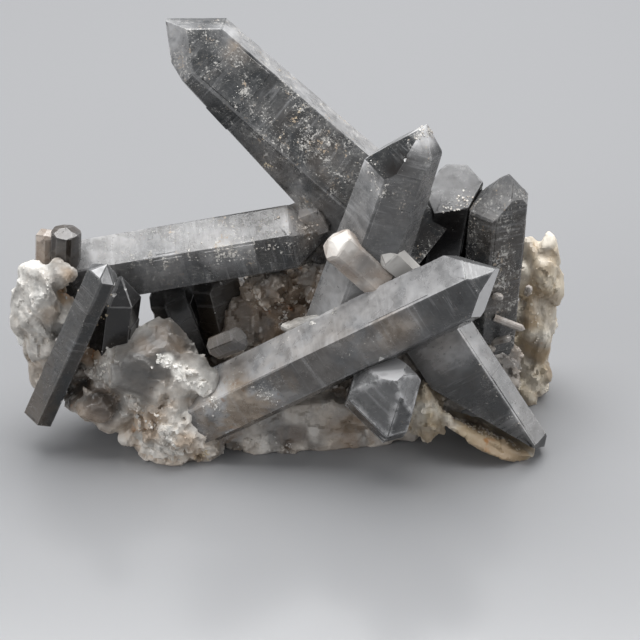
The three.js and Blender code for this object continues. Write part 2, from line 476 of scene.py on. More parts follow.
BLOOMS: list[Bloom] = [
    # spire: dusty middle, frosted ridge and tip, stained chips
    Bloom((-19, 6, 121), 14, dust=0.5),
    Bloom((-3, 0, 106), 15, dust=0.3, stain=0.1),
    Bloom((12, -1, 99), 12, dust=0.45, stain=0.2),
    Bloom((-38, 17, 131), 11, milk=0.25, frost=0.15),
    Bloom((-20, 18, 131), 9, frost=0.35, dust=0.6),
    Bloom((-17.4, 13.5, 129.5), 2.2, stain=1.2, milk=0.4),
    Bloom((-19.6, 3.2, 117.2), 1.8, stain=1.2, milk=0.3),
    Bloom((-7.3, -1.2, 93), 3.2, stain=1.4, milk=0.3),
    Bloom((6, -4, 86), 16, stain=0.4, milk=0.2),
    # left beam: light mottled top, crusts along the edge, dirty end
    Bloom((-55, -5, 66), 22, milk=0.35, frost=0.2),
    Bloom((-32, -6, 71), 12, milk=0.25, dust=0.4),
    Bloom((-21, -12, 70), 12, milk=0.35, dust=0.9, frost=0.3),
    Bloom((-40, -13, 64), 9, milk=0.3, dust=0.6),
    Bloom((-23, -15, 67), 7, milk=0.6, dust=0.5),
    Bloom((-13, -15, 70), 4, milk=0.7, dust=0.5),
    Bloom((-40, -14, 62), 4, milk=0.6, dust=0.5),
    Bloom((-2, -8, 77), 9, milk=0.6, dust=0.8, frost=0.3),
    Bloom((6, -10, 73), 8, milk=0.3, stain=0.6, dust=0.6),
    # centre blade: dusty ridge, crumbly tip, frosted top left
    Bloom((29, -23, 96), 4.5, milk=0.5, dust=0.6, frost=0.3),
    Bloom((35, -22.6, 105.6), 7.5, milk=-1.2, frost=-0.2, dust=-0.8),
    Bloom((46, -9, 74), 10, milk=-1.5, frost=-0.3, dust=-0.6),
    Bloom((34, -26, 102), 4, milk=0.3, dust=0.7, frost=0.3),
    Bloom((24, -14, 103), 5, milk=0.5, dust=0.8, frost=0.4),
    Bloom((43, -14, 113), 8, milk=1.2, dust=1.0, frost=0.8),
    Bloom((35, -25, 94), 7, dust=0.9, stain=0.3),
    # front beam: white cloud, brown clouds, crusty root, bright point
    Bloom((31, -37, 64), 10, milk=0.75, frost=0.25),
    Bloom((31.9, -43.5, 56), 12, milk=0.35, stain=0.7),
    Bloom((38.2, -44, 60.5), 8, milk=0.3, stain=0.4),
    Bloom((-17, -40, 21.5), 18, milk=0.65, stain=1.9),
    Bloom((-3, -40, 33), 9, milk=0.3, stain=1.0),
    Bloom((-7, -40.6, 29.3), 7, dust=1.0),
    Bloom((-23, -37, 28), 11, milk=0.5, dust=1.0, frost=0.3),
    Bloom((15.9, -31, 56), 5, dust=0.7),
    Bloom((16, -32, 55), 20, milk=0.15, frost=0.3),
    Bloom((15, -41, 48), 7, dust=0.6),
    # right blade and slanting blade
    Bloom((71.7, -11.6, 70), 13, dust=0.6, stain=0.35),
    Bloom((70.6, -13.2, 53), 13, dust=0.5, stain=0.3),
    Bloom((59.7, -9.8, 64.7), 6, dust=0.8),
    Bloom((51, -28, 40), 14, milk=0.7, frost=0.2, stain=0.2),
    Bloom((67, -33, 28.7), 9, dust=0.5, milk=0.1),
    Bloom((75.9, -37, 16), 5, dust=0.9, frost=0.4),
    Bloom((64, -31, 11), 13, dust=0.7, milk=0.25),
    # pale peg: smoky patch and bright end
    Bloom((24.5, -30, 73), 6, milk=-0.8, stain=-0.9),
    Bloom((17, -29, 80), 6.5, milk=1.0, stain=-0.4, frost=0.5),
]


PATCH_GAIN = 1.4  # over one, so that the middle of a patch covers what is under it


@dataclass(frozen=True)
class Patch:
    """A patch on the base, in growth millimetres, that takes on this finish towards its middle."""

    at: Triple
    reach: float
    milk: float
    stain: float
    frost: float = 0.1

    def over(self, at: Vector, look: Vector) -> Vector:
        """Lays the patch over a look.

        Args:
            at: The place.
            look: The look without the patch.

        Returns:
            The look with it.
        """
        share = min(1.0, PATCH_GAIN * fading(at, self.at, self.reach))
        return look.lerp(Vector((self.milk, self.stain, self.frost)), share) if share > 0.0 else look


PATCHES: list[Patch] = [
    # smoky broken faces with white breaks round them
    Patch((-47, -36, 36), 16, -0.35, 0.1, 0.03),
    Patch((-38.5, -25, 42), 13, -0.05, 0.4, 0.0),
    Patch((-40, -36.5, 26.3), 9, 0.4, 0.6, 0.15),
    Patch((-44.5, -35.6, 41.1), 3.5, 1.3, 0.0, 0.4),
    Patch((-39.8, -34.4, 38.4), 4, 1.3, 0.0, 0.5),
    Patch((-35.6, -35.7, 35.5), 4.5, 1.3, 0.0, 0.5),
    Patch((-31.6, -37, 33.2), 5, 1.3, 0.1, 0.5),
    Patch((-28.4, -37.6, 28.7), 4.5, 1.3, 0.0, 0.4),
    Patch((-61.5, -28.1, 37.3), 6, 0.9, 0.1, 0.3),
    Patch((-66.8, -27.6, 30.8), 4, 0.8, 0.3, 0.3),
    Patch((-63.6, -28.6, 26.2), 5, 0.9, 0.1, 0.3),
    Patch((-52, -37.4, 23.7), 5, 1.0, 0.1, 0.3),
    Patch((-32, -34.8, 23.8), 6, 0.3, 0.5, 0.0),
    Patch((-46, -29, 42), 8, 0.0, 0.4, 0.0),
    Patch((-26.9, -38.5, 21.2), 6, 0.9, 0.05, 0.3),
    # the granular heap: pinkish beige, with white chunks and a rusty spot
    Patch((-48, -37, 14), 11, 0.85, 1.3, 0.1),
    Patch((-55.5, -34.2, 15.1), 5, 1.0, 0.1, 0.3),
    Patch((-50, -35, 6), 6, 0.9, 0.9, 0.2),
    Patch((-45, -39, 18.7), 4, 0.1, 0.9, 0.0),
    Patch((-40.2, -41.8, 14.6), 5, 0.95, 0.1, 0.3),
    Patch((-40.7, -39.8, 3), 8, 1.5, 0.7, 0.25),
    Patch((-55, -35, 10), 7, 1.1, 0.8, 0.2),
    Patch((-35, -42, 10), 6, 0.9, 1.2, 0.1),
    Patch((-32, -41, 6), 5, 1.1, 0.8, 0.1),
    Patch((-30, -39.7, 2.1), 3, 0.1, 1.8, 0.0),
    # the glassy strip: smoky disc with a pale rim, pale chips and a lit ledge
    Patch((-19, -36, 8), 9, 0.45, 1.1, 0.0),
    Patch((-12, -35, 3.5), 8, 1.3, 0.5, 0.3),
    Patch((0.3, -32, 5.5), 8, -0.4, 0.5, 0.0),
    Patch((7.8, -31, 6.5), 3, 1.4, 0.1, 0.25),
    Patch((7.8, -31, 3.5), 2.5, 1.2, 0.2, 0.25),
    Patch((2, -30, 14.5), 8, 0.85, 0.6, 0.2),
    Patch((12, -28, 14.5), 8, 0.85, 0.7, 0.2),
    Patch((20, -28, 6), 12, 0.3, 1.1, 0.0),
    Patch((-6, -34, 1.5), 4.5, 1.0, 0.3, 0.2),
    Patch((3, -33, 0.5), 5, 1.2, 0.5, 0.2),
    Patch((14, -30, 1), 6, 1.0, 0.9, 0.2),
    # under the crystals on the left
    Patch((-62, -35, 22), 9, -0.2, 0.3, 0.0),
    Patch((-67, -33, 14), 9, 0.45, 0.9, 0.1),
    Patch((-66, -24, 36), 8, -0.1, 1.5, 0.0),
    Patch((-69, -26, 22), 6, 0.1, 1.1, 0.0),
    # between the left crystal and the front one
    Patch((-1, -9, 37), 14, 0.15, 1.4, 0.0),
    Patch((6, -27, 47), 14, 0.8, 0.2, 0.1),
    Patch((-24, -28, 38), 6, 0.2, 1.5, 0.0),
    # the pale slab on the left
    Patch((-85.5, -22.8, 57), 13, 0.42, 0.1, 0.05),
    Patch((-84.4, -26.2, 44), 14, 0.45, 0.2, 0.1),
    Patch((-78.7, -26, 52), 7, 0.55, 0.6, 0.1),
    Patch((-78.7, -20.8, 64), 7, 0.35, 0.3, 0.05),
    Patch((-74, -17.5, 54), 6, 0.0, 1.5, 0.0),
    Patch((-72.4, -19.9, 62.8), 4, 0.4, 1.0, 0.1),
    # the honey coloured right end
    Patch((84.6, 1, 54), 10, 0.42, 0.7, 0.2),
    Patch((80, -2, 54), 5, -0.3, 0.1, 0.0),
    Patch((82, -1, 40), 9, 0.4, 1.2, 0.1),
    Patch((87, 0, 35), 8, 0.5, 0.5, 0.1),
    Patch((81, -3, 32), 5, 0.3, 1.3, 0.0),
    Patch((84, -4, 20), 10, 0.35, 1.1, 0.0),
    Patch((60, -37, 6), 13, 0.45, 1.8, 0.1),
    Patch((75, -38, 3), 13, 0.5, 1.8, 0.1),
    Patch((54, -31, 16), 6, 0.0, 0.3, 0.0),
    Patch((62, -32, 12), 6, 0.0, 0.3, 0.0),
    Patch((70, -34, 8.5), 5, 0.05, 0.3, 0.0),
    Patch((44, -34, 19), 6, 0.8, 1.2, 0.1),
    Patch((83, -8, 11), 8, 1.2, 0.5, 0.3),
]


def bloomed(at: Vector) -> Vector:
    """What all blooms add at a place.

    Args:
        at: The place, in growth millimetres.

    Returns:
        The milk, stain, frost and dust to add.
    """
    total = Vector((0.0, 0.0, 0.0, 0.0))
    for bloom in BLOOMS:
        share = fading(at, bloom.at, bloom.reach)
        if share > 0.0:
            total += Vector((bloom.milk, bloom.stain, bloom.frost, bloom.dust)) * share
    return total


@dataclass(frozen=True)
class Crystal:
    """A quartz crystal: a six-sided prism with a six-faced point.

    root and tip are the ends of the axis. sides are the distances from the axis to the six sides,
    repeated where fewer are given. roll turns the first side. taper leans every side in, and leans
    adds to it on single sides. ends moves single point faces outwards. plates counts the growth steps.
    wear is the least and most depth worn off an edge, rim the width of the strip along it and frame the
    edge value there, which paints the edge pale for its wear and for the highlight it catches.
    """

    root: Triple
    tip: Triple
    roll: float
    sides: tuple[float, ...]
    taper: float = 0.0
    leans: dict[int, float] = field(default_factory=dict)
    ends: dict[int, float] = field(default_factory=dict)
    point_angle: float = POINT_ANGLE
    cut: Cut | None = None
    stuff: Stuff = Stuff.SMOKY
    tone: Tone = Tone()
    plates: int = 4
    wear: Pair = (0.03, 0.16)
    rim: float = 0.9
    frame: float = 0.5

    @property
    def length(self) -> float:
        """Length of the axis."""
        return (Vector(self.tip) - Vector(self.root)).length

    @property
    def place(self) -> Matrix:
        """From the crystal's own frame, axis along z, to growth millimetres."""
        axis = (Vector(self.tip) - Vector(self.root)).normalized()
        turn = UP.rotation_difference(axis).to_matrix().to_4x4()
        return Matrix.Translation(self.root) @ turn

    def flats(self, shifts: dict[int, float] | None = None) -> list[Flat]:
        """The planes of the six sides and the six point faces.

        Args:
            shifts: How far each side is moved outwards; a side that isn't named stays.

        Returns:
            The planes in the crystal's own frame.
        """
        shifts = shifts or {}
        turn = self.place.to_3x3()
        found: list[Flat] = []
        for side in range(PRISM_SIDES):
            angle = math.radians(self.roll + side * 360 / PRISM_SIDES)
            out = Vector((math.cos(angle), math.sin(angle), 0.0))
            lean = math.radians(self.taper + self.leans.get(side, 0.0))
            normal = out * math.cos(lean) + UP * math.sin(lean)
            middle = out * (self.sides[side % len(self.sides)] + shifts.get(side, 0.0))
            middle += UP * (self.length / 2)
            # Here and on the point faces below, a face that looks up gets more frost, which paints light on
            # it.
            frost = self.tone.sides.get(side, 0.0) + self.tone.painted_top_light * max(0.0, (turn @ normal).z)
            found.append(Flat(normal, middle, frost))
            slope = math.radians(self.point_angle)
            normal = out * math.cos(slope) + UP * math.sin(slope)
            apex = UP * (self.length + self.ends.get(side, 0.0) + POINT_STEP * side)
            frost = self.tone.points.get(side, 0.0) + self.tone.painted_top_light * max(0.0, (turn @ normal).z)
            found.append(Flat(normal, apex, frost))
        return found

    def cleaved(self, middle: float, half: float, shifts: dict[int, float] | None = None) -> Body:
        """A stretch of the crystal, cleaved from a blank.

        Args:
            middle: Middle of the stretch, along the axis.
            half: Half its length.
            shifts: How far each side is moved outwards; a side that isn't named stays.

        Returns:
            The body, in the crystal's own frame.
        """
        body = Body.blank((BLANK_HALF_WIDTH, BLANK_HALF_WIDTH, half), (0.0, 0.0, middle), self.stuff)
        for flat in self.flats(shifts):
            body.cleave(flat)
        return body

    def break_off(self, body: Body) -> None:
        """Cuts a body off at the crystal's broken face, where it has one."""
        if self.cut is not None:
            body.cleave(self.cut.flat(self.place, BROKEN_FROST))

    def look(self, corner: Vector, frost: float) -> Finish:
        """Finish of one corner.

        Args:
            corner: Place in the crystal's own frame.
            frost: Frost of the face.

        Returns:
            The look vector and the dust.
        """
        share = min(1.0, max(0.0, corner.z / self.length))
        pairs = (self.tone.milk, self.tone.stain, self.tone.dust)
        milk, stain, dust = (pair[0] + (pair[1] - pair[0]) * share for pair in pairs)
        extra = bloomed(self.place @ corner)
        return Vector((milk, stain, frost)) + extra.xyz, dust + extra.w

    def body(self, name: str, rng: Random) -> bpy.types.Object:
        """Cleaves the crystal from a blank.

        Args:
            name: Name of the object.
            rng: Source of the uneven wear.

        Returns:
            The crystal, in the part's frame.
        """
        half = (self.length + BLANK_SPARE_LENGTH) / 2
        body = self.cleaved(half, half)
        self.break_off(body)
        body.wear_edges(rng, self.wear)
        body.mark_rims(self.rim, self.frame)
        body.refine(REFINE_ALONG, REFINE_ACROSS)
        return body.finish(self.place, self.look, name)

    def growth_plate(self, name: str, rng: Random) -> bpy.types.Object:
        """A thin step on one or two sides, as a crystal grows in layers.

        Args:
            name: Name of the object.
            rng: Source of its place and size.

        Returns:
            The plate, to be joined with the crystal.
        """
        side = rng.randrange(PRISM_SIDES)
        rise = rng.uniform(*PLATE_RISE)
        shifts = {number: -PLATE_INSET for number in range(PRISM_SIDES)}
        shifts[side] = rise
        if rng.random() < 0.5:
            shifts[(side + 1) % PRISM_SIDES] = rise * rng.uniform(0.3, 1.0)
        low = rng.uniform(*PLATE_START) * self.length
        high = low + rng.uniform(*PLATE_LENGTH) * self.length
        body = self.cleaved((high + low) / 2, (high - low) / 2 + PLATE_SPARE_LENGTH, shifts)
        self.break_off(body)
        for end, height in ((-1.0, low), (1.0, high)):
            lean = Vector([rng.uniform(-PLATE_LEAN, PLATE_LEAN) for _ in range(2)] + [end]).normalized()
            body.cleave(Flat(lean, UP * height, PLATE_FROST))
        body.mark_rims(*PLATE_RIM)
        return body.finish(self.place, self.look, name)

    def edge_spots(self, rng: Random, count: int) -> list[tuple[Vector, Vector]]:
        """Places along the long edges and the point's edges.

        Args:
            rng: Source of the places.
            count: How many.

        Returns:
            Pairs of a place and the direction out of the crystal there, in growth millimetres.
        """
        half = (self.length + BLANK_SPARE_LENGTH) / 2
        body = self.cleaved(half, half)
        body.bm.normal_update()
        edges = [e for e in body.bm.edges if len(e.link_faces) == 2 and e.calc_length() > 1.0]
        weights: list[float] = []
        for edge in edges:
            on_point = min(vert.co.z for vert in edge.verts) > self.length * POINT_SHARE
            weights.append(edge.calc_length() + (POINT_WEIGHT if on_point else 0.0))
        spots: list[tuple[Vector, Vector]] = []
        turn = self.place.to_3x3()
        for edge in rng.choices(edges, weights, k=count):
            at = edge.verts[0].co.lerp(edge.verts[1].co, rng.random())
            out = (edge.link_faces[0].normal + edge.link_faces[1].normal).normalized()
            if at.z > 2.0:
                spots.append((self.place @ at, turn @ out))
        body.bm.free()
        return spots


DARK_ROOT = Tone(milk=(0.1, 0.05), stain=(0.5, 0.1), dust=(0.1, 0.1))

CRYSTALS: dict[str, Crystal] = {
    "spire": Crystal(
        (44, -2, 61), (-39, 22, 132), 243, (14.5, 11.5, 13), taper=0.8, leans={5: 6},
        ends={0: 3, 1: 13, 2: 3, 3: 5, 4: 9, 5: 1},
        tone=Tone(
            milk=(0.14, 0.04), stain=(0.12, 0.0), dust=(0.95, 1.05),
            sides={1: -0.14, 2: 0.3}, points={0: 0.2, 1: 0.15, 2: -0.1},
        ),
        plates=9,
    ),
    "leftBeam": Crystal(
        (-76, -3, 51), (14.5, -5, 70.5), 206, (10.5, 10, 10.5),
        cut=Cut((-0.75, 0.65, 0.1), (-75, -3, 58)),
        tone=Tone(milk=(0.1, 0.02), stain=(0.1, 0.15), dust=(0.5, 0.8), sides={0: -0.14, 1: -0.04}),
        plates=9,
    ),
    "beamCap": Crystal(
        (-10, -1, 64), (15, -3, 77), 196, (6, 5.5, 6.5), point_angle=60,
        tone=Tone(milk=(0.3, 0.25), stain=(0.35, 0.3), dust=(0.4, 0.4), sides={0: 0.1}),
        plates=3,
    ),
    "centreBlade": Crystal(
        (18, -17, 37.5), (40.5, -13, 116.5), 211, (11, 11.5, 11), taper=1.5,
        ends={0: -4, 2: 4, 3: 5, 4: 3, 5: -4},
        tone=Tone(
            milk=(0.1, 0.0), stain=(0.15, 0.05), dust=(0.5, 0.6),
            sides={0: 0.28, 1: 0.2, 2: 0.35}, points={0: -0.9, 1: 0.05},
        ),
        plates=7,
    ),
    # Milk of minus one makes it black: dark quartz, with painted shade on its front.
    "darkStump": Crystal(
        (50, -3, 53), (56.5, 3, 95.5), 208, (8, 6.5, 7.5),
        cut=Cut((-0.15, -0.55, 0.82), (54, -4, 80)),
        tone=Tone(milk=(-1.0, -1.0), stain=(0.1, 0.0), dust=(0.05, 0.3), painted_top_light=0.02),
    ),
    "rightBlade": Crystal(
        (65, -9, 9), (69.5, -3, 90), 234, (9, 8, 9.5), taper=0.5, ends={0: -1, 1: 4, 2: 4, 3: 3},
        tone=Tone(
            milk=(0.04, 0.0), stain=(0.3, 0.1), dust=(1.0, 0.9),
            sides={0: 0.02, 1: 0.05}, points={0: 0.12},
        ),
        plates=6,
    ),
    "frontBeam": Crystal(
        (-32.5, -29, 12), (67.5, -37, 76.5), 198, (9.5, 9.5, 11), ends={0: 4, 1: 5},
        tone=Tone(
            milk=(0.14, 0.0), stain=(0.4, 0.0), dust=(0.5, 0.2),
            sides={0: 0.34, 1: 0.07}, points={0: -0.1, 2: 1.4},
        ),
        plates=8,
    ),
    "slantBlade": Crystal(
        (42, -17, 48), (83, -37, -12.5), 165, (12.5, 7.5, 11.5),
        cut=Cut((-0.49, -0.21, -0.845), (46, -30, 24.5)),
        tone=Tone(milk=(0.2, -0.3), stain=(0.2, 0.1), dust=(0.2, 0.15), sides={0: 0.26}),
        plates=5,
    ),
    "frontStub": Crystal(
        (33, -31, 22), (35, -52, 43), 47, (7.5, 9.5, 13.5, 13, 15, 8), ends={0: 2, 2: 3, 4: 3},
        tone=Tone(
            milk=(0.1, 0.1), stain=(0.1, 0.0), dust=(0.3, 0.4),
            points={0: 0.25, 1: 1.1, 2: 0.12, 3: 0.06, 4: 0.1, 5: 0.25},
        ),
        plates=0, rim=3.0, frame=1.3,
    ),
    "palePeg": Crystal(
        (29, -25, 62.5), (12.5, -26, 80.5), 246, (6, 6, 6.5, 6, 6, 4), point_angle=62, stuff=Stuff.PALE,
        tone=Tone(
            milk=(0.4, 0.8), stain=(0.6, 0.45), dust=(0.0, 0.1),
            points={0: 0.5, 1: 0.5, 2: 0.5, 5: 0.4},
        ),
        plates=0, wear=(0.2, 0.5),
    ),
    "clearPeg": Crystal(
        (40.5, -21, 61), (28.5, -25, 77.5), 232, (4.5, 4, 4.5), stuff=Stuff.PALE,
        tone=Tone(
            milk=(1.2, 1.2), stain=(0.1, 0.0), dust=(0.1, 0.2),
            sides={0: 1.0, 1: 1.0, 2: 0.6}, points={0: 1.0, 1: 1.0},
        ),
        plates=0,
    ),
    "waterDrop": Crystal(
        (-25.5, -30, 40), (-13, -32, 47.5), 177, (4.5, 4.5, 4), point_angle=56,
        tone=Tone(
            milk=(-0.1, -0.4), stain=(0.7, 0.1), dust=(0.1, 0.3),
            points={0: 0.2, 5: 0.3}, painted_top_light=0.1,
        ),
        plates=0, wear=(0.7, 1.3), frame=0.3,
    ),
    "leftSlat": Crystal(
        (-84, -29, 11.5), (-58.5, -29, 73), 228, (4, 5, 5), point_angle=48,
        tone=Tone(milk=(0.05, -0.1), stain=(0.6, 0.0), dust=(0.25, 0.35), points={0: 0.8, 1: 0.4}),
        plates=4,
    ),
    "darkTooth": Crystal(
        (-60, -21, 28), (-55, -21, 63), 220, (7, 6.5, 6.5),
        tone=Tone(milk=(-0.8, -0.8), stain=(0.2, 0.0), dust=(0.1, 0.2), painted_top_light=0.05, points={0: 0.2}),
        frame=0.15, plates=1,
    ),
    # Its milk below nothing makes it dark quartz, with painted shade under the left beam.
    "shadeTooth": Crystal(
        (-33, -3, 19), (-43.5, 3, 50), 233, (8.5, 8, 6.5),
        tone=Tone(milk=(-0.4, -0.6), stain=(0.2, 0.1), dust=(0.05, 0.05), painted_top_light=0.1),
    ),
    "leftStub": Crystal(
        (-74.5, -9, 55), (-73, -9, 75), 224, (4.8, 4.6, 4.8), point_angle=66,
        tone=Tone(milk=(-1.0, -1.0), stain=(0.35, 0.35), dust=(0.1, 0.2), painted_top_light=0.08),
        plates=1, wear=(0.4, 1.1),
    ),
    "paleStub": Crystal(
        (-81, -7, 53), (-80, -5, 71.5), 223, (3.8, 3.5, 3.5), point_angle=62, stuff=Stuff.PALE,
        tone=Tone(milk=(0.3, 0.4), stain=(0.7, 0.4), dust=(0.1, 0.1)), plates=0, wear=(0.4, 1.1),
    ),
    # Its milk below nothing makes it dark quartz, with painted shade under the left beam.
    "backTooth": Crystal(
        (-19, -1, 20), (-27, 7, 55), 236, (9.5, 8, 8),
        tone=Tone(milk=(-0.3, -0.4), stain=(0.6, 0.2), dust=(0.05, 0.05), painted_top_light=0.1),
    ),
    "farLow": Crystal((-14, 10, 22), (-30, 47, 36), 12, (8.5, 8, 7.5), tone=DARK_ROOT),
    "farMiddle": Crystal((12, 8, 28), (21, 48, 50), 25, (7, 8, 7.5), tone=DARK_ROOT),
    "farRight": Crystal((48, 6, 18), (62, 44, 26), 40, (6.5, 6, 7), tone=DARK_ROOT),
    "farSmall": Crystal((-2, 14, 18), (-8, 42, 14), 5, (4.5, 4.5, 4), tone=DARK_ROOT, plates=2),
    "farStub": Crystal((30, 12, 40), (40, 34, 62), 15, (5, 4.5, 5), tone=DARK_ROOT, plates=2),
}

NEEDLE_SIDE = 1.2
NEEDLES: list[tuple[Triple, Triple]] = [
    ((68, -15, 42), (78.5, -17, 38.5)),
    ((67, -14, 31), (74, -18, 36)),
    ((68, -14, 50), (70, -19, 53)),
    ((70, -10, 22), (76, -15, 24)),
    ((80, 2, 40), (80, -6, 48)),
]


# ---------------------------------------------------------------------------------------------
# Broken base
# ---------------------------------------------------------------------------------------------


@dataclass(frozen=True)
class Relief:
    """How a broken surface stands out from its rough shape: depths and widths in millimetres.

    swell is a broad undulation, facet the flat chips left by breaking and grain the fine roughness.
    stretch scales the pattern along each axis after turning it by lean degrees about the Y axis.
    """

    swell: Pair
    facet: Pair
    grain: Pair
    stretch: Triple = (1.0, 1.0, 1.0)
    lean: float = 0.0

    def height(self, at: Vector) -> float:
        """Height of the surface over its rough shape.

        Args:
            at: Place in growth millimetres.

        Returns:
            The height in millimetres.
        """
        turned = Matrix.Rotation(math.radians(self.lean), 3, "Y") @ at
        at = Vector([value * scale for value, scale in zip(turned, self.stretch)])
        swell = noise.noise(at / self.swell[1])
        spots = noise.voronoi(at / self.facet[1])[1]
        tilt = noise.noise_vector(spots[0] * 5.3)
        facet = (at / self.facet[1] - spots[0]).dot(tilt) * 2.0 + tilt.x * 0.6
        grain = noise.fractal(at / self.grain[1], 0.9, 2.1, 3)
        return self.swell[0] * swell + self.facet[0] * facet + self.grain[0] * grain


RELIEFS: dict[Skin, Relief] = {
    Skin.BROKEN: Relief((0.6, 9.0), (1.5, 4.2), (0.3, 2.0)),
    Skin.GRANULAR: Relief((0.6, 9.0), (1.5, 3.4), (0.3, 1.8)),
    Skin.FIBROUS: Relief((0.4, 9.0), (0.8, 5.0), (0.25, 2.0), stretch=(1.6, 1.0, 0.4), lean=28),
    Skin.GLASSY: Relief((0.4, 12.0), (0.7, 7.0), (0.05, 3.0)),
    Skin.ROUNDED: Relief((0.9, 8.0), (0.4, 5.0), (0.15, 2.4)),
}

SKIN_MARK = "skin"
BASE_VOXEL = 0.85
SHARP_ANGLE = 15.0
BREAK_FROST = 0.28  # a glassy skin that is more frosted than this is broken
HOLLOW_STAIN = 0.8
BASE_DUST = 0.15
LEAST_BULGE = 0.06
BULGE_GAIN = 4.0

BLOCK_FLATS = 11
FLAT_NEAREST = 0.62
FLAT_SPREAD = 0.34
HEART_SHARE = 0.92
SHOULDER_SHARE = 0.5
SHOULDER_REACH = 0.58
FROST_SPREAD = (0.3, 1.7)
BLOCK_WEAR = (0.05, 0.35)
SMALLEST_WORN_BLOCK = 2.5
BLOCK_DUST = 0.1
GRAIN_REACH = (0.62, 0.9)
GRAIN_FLATNESS = (0.5, 1.0)
GRAIN_TURNS = 97
BROKEN_GRAIN_FROST = 0.5


def scatter(value: float) -> float:
    """A number from 0 to 1 that looks random and is always the same for the same input."""
    wave = math.sin(value) * 43758.5453
    return wave - math.floor(wave)


def spread_direction(index: int, count: int, seed: float) -> Vector:
    """One of count directions spread evenly round a ball.

    Args:
        index: Which of them.
        count: How many there are.
        seed: Turns them all.

    Returns:
        The direction.
    """
    height = 1 - (2 * (index + 0.5)) / count
    ring = math.sqrt(1 - height * height)
    turn = GOLDEN_ANGLE * index + seed * 1.7
    return Vector((ring * math.cos(turn), ring * math.sin(turn), height))


@dataclass(frozen=True)
class Lump:
    """A rough lump of the base: one large angular block with smaller ones all round it.

    at is the centre and size the half sizes, seed picks the shapes, blocks counts the smaller
    blocks, turn leans it about the Y axis. flats counts the broken flats round each block, and cuts are
    broken faces across the whole lump. grains counts the small broken pieces on its skin. rim is the
    width of the strip along each edge.
    """

    at: Triple
    size: Triple
    seed: int
    blocks: int
    stuff: Stuff
    milk: Pair
    stain: Pair
    skin: Skin = Skin.BROKEN
    turn: float = 0.0
    flats: int = BLOCK_FLATS
    cuts: tuple[Cut, ...] = ()
    grains: int = 0
    grain_size: Pair = (1.2, 3.2)
    rim: float = 0.7

    @property
    def lean(self) -> Matrix:
        """From the lump's own frame to growth millimetres."""
        return Matrix.Translation(self.at) @ Matrix.Rotation(math.radians(self.turn), 4, "Y")

    def block(
        self, size: Triple, place: Matrix, seed: float, name: str, frost: float = 0.2
    ) -> bpy.types.Object:
        """One angular block of broken quartz.

        Args:
            size: Half sizes.
            place: From the block's frame to growth millimetres.
            seed: Picks its flats.
            name: Name of the object.
            frost: Frost of its flats.

        Returns:
            The block, in the part's frame.
        """
        rng = Random(int(seed * 1000))
        body = Body.blank((1.0, 1.0, 1.0), (0.0, 0.0, 0.0), self.stuff)
        for flat in range(self.flats):
            facing = spread_direction(flat, self.flats, seed)
            distance = FLAT_NEAREST + FLAT_SPREAD * scatter(seed * 12.9898 + flat * 78.233)
            body.cleave(Flat(facing, facing * distance, frost * rng.uniform(*FROST_SPREAD)))
        bmesh.ops.transform(body.bm, matrix=Matrix.Diagonal((*size, 1.0)), verts=body.bm.verts[:])
        for cut in self.cuts:
            body.cleave(cut.flat(place, frost))
        body.bm.normal_update()
        if min(size) > SMALLEST_WORN_BLOCK:
            body.wear_edges(rng, BLOCK_WEAR)
        body.mark_rims(self.rim)
        milk = rng.uniform(*self.milk)
        stain = rng.uniform(*self.stain)

        def look(corner: Vector, face_frost: float) -> Finish:
            """The same milk and stain all over the block."""
            return Vector((milk, stain, face_frost)), BLOCK_DUST

        return body.finish(place, look, name)

    def spot(self, out: Vector) -> Matrix:
        """A place in the lump, given as shares of its half sizes."""
        return self.lean @ Matrix.Translation([share * half for share, half in zip(out, self.size)])

    def bodies(self) -> list[bpy.types.Object]:
        """Makes all the lump's blocks and grains.

        Returns:
            The blocks and grains, in the part's frame.
        """
        made = [self.block(tuple(half * HEART_SHARE for half in self.size), self.lean, self.seed, "heart")]
        for number in range(self.blocks):
            place = self.spot(spread_direction(number, self.blocks, self.seed + 0.5) * SHOULDER_REACH)
            share = SHOULDER_SHARE * (0.8 + 0.4 * scatter(self.seed * 3.3 + number * 5.7))
            size = tuple(half * share for half in self.size)
            made.append(self.block(size, place, self.seed * 31 + number, "shoulder"))
        rng = Random(self.seed * 7919)
        for number in range(self.grains):
            out = spread_direction(number, self.grains, self.seed + 0.25)
            place = self.spot(out * rng.uniform(*GRAIN_REACH))
            axis = spread_direction(number % GRAIN_TURNS, GRAIN_TURNS, 0.1)
            place = place @ Matrix.Rotation(rng.uniform(0, math.tau), 4, axis)
            small = rng.uniform(*self.grain_size)
            size = (small, small * rng.uniform(*GRAIN_FLATNESS), small * rng.uniform(*GRAIN_FLATNESS))
            made.append(self.block(size, place, self.seed * 53 + number * 1.37, "grain", BROKEN_GRAIN_FROST))
        made = [piece for piece in made if piece.data.polygons]
        for piece in made:
            mark = piece.data.attributes.new(SKIN_MARK, "INT", "FACE")
            mark.data.foreach_set("value", [SKIN_ORDER.index(self.skin)] * len(piece.data.polygons))
        return made


# The broken face that keeps the far side low, so there is a gap under the left crystal.
SADDLE = Cut((0, 0.57, 0.82), (-50, -10, 34))

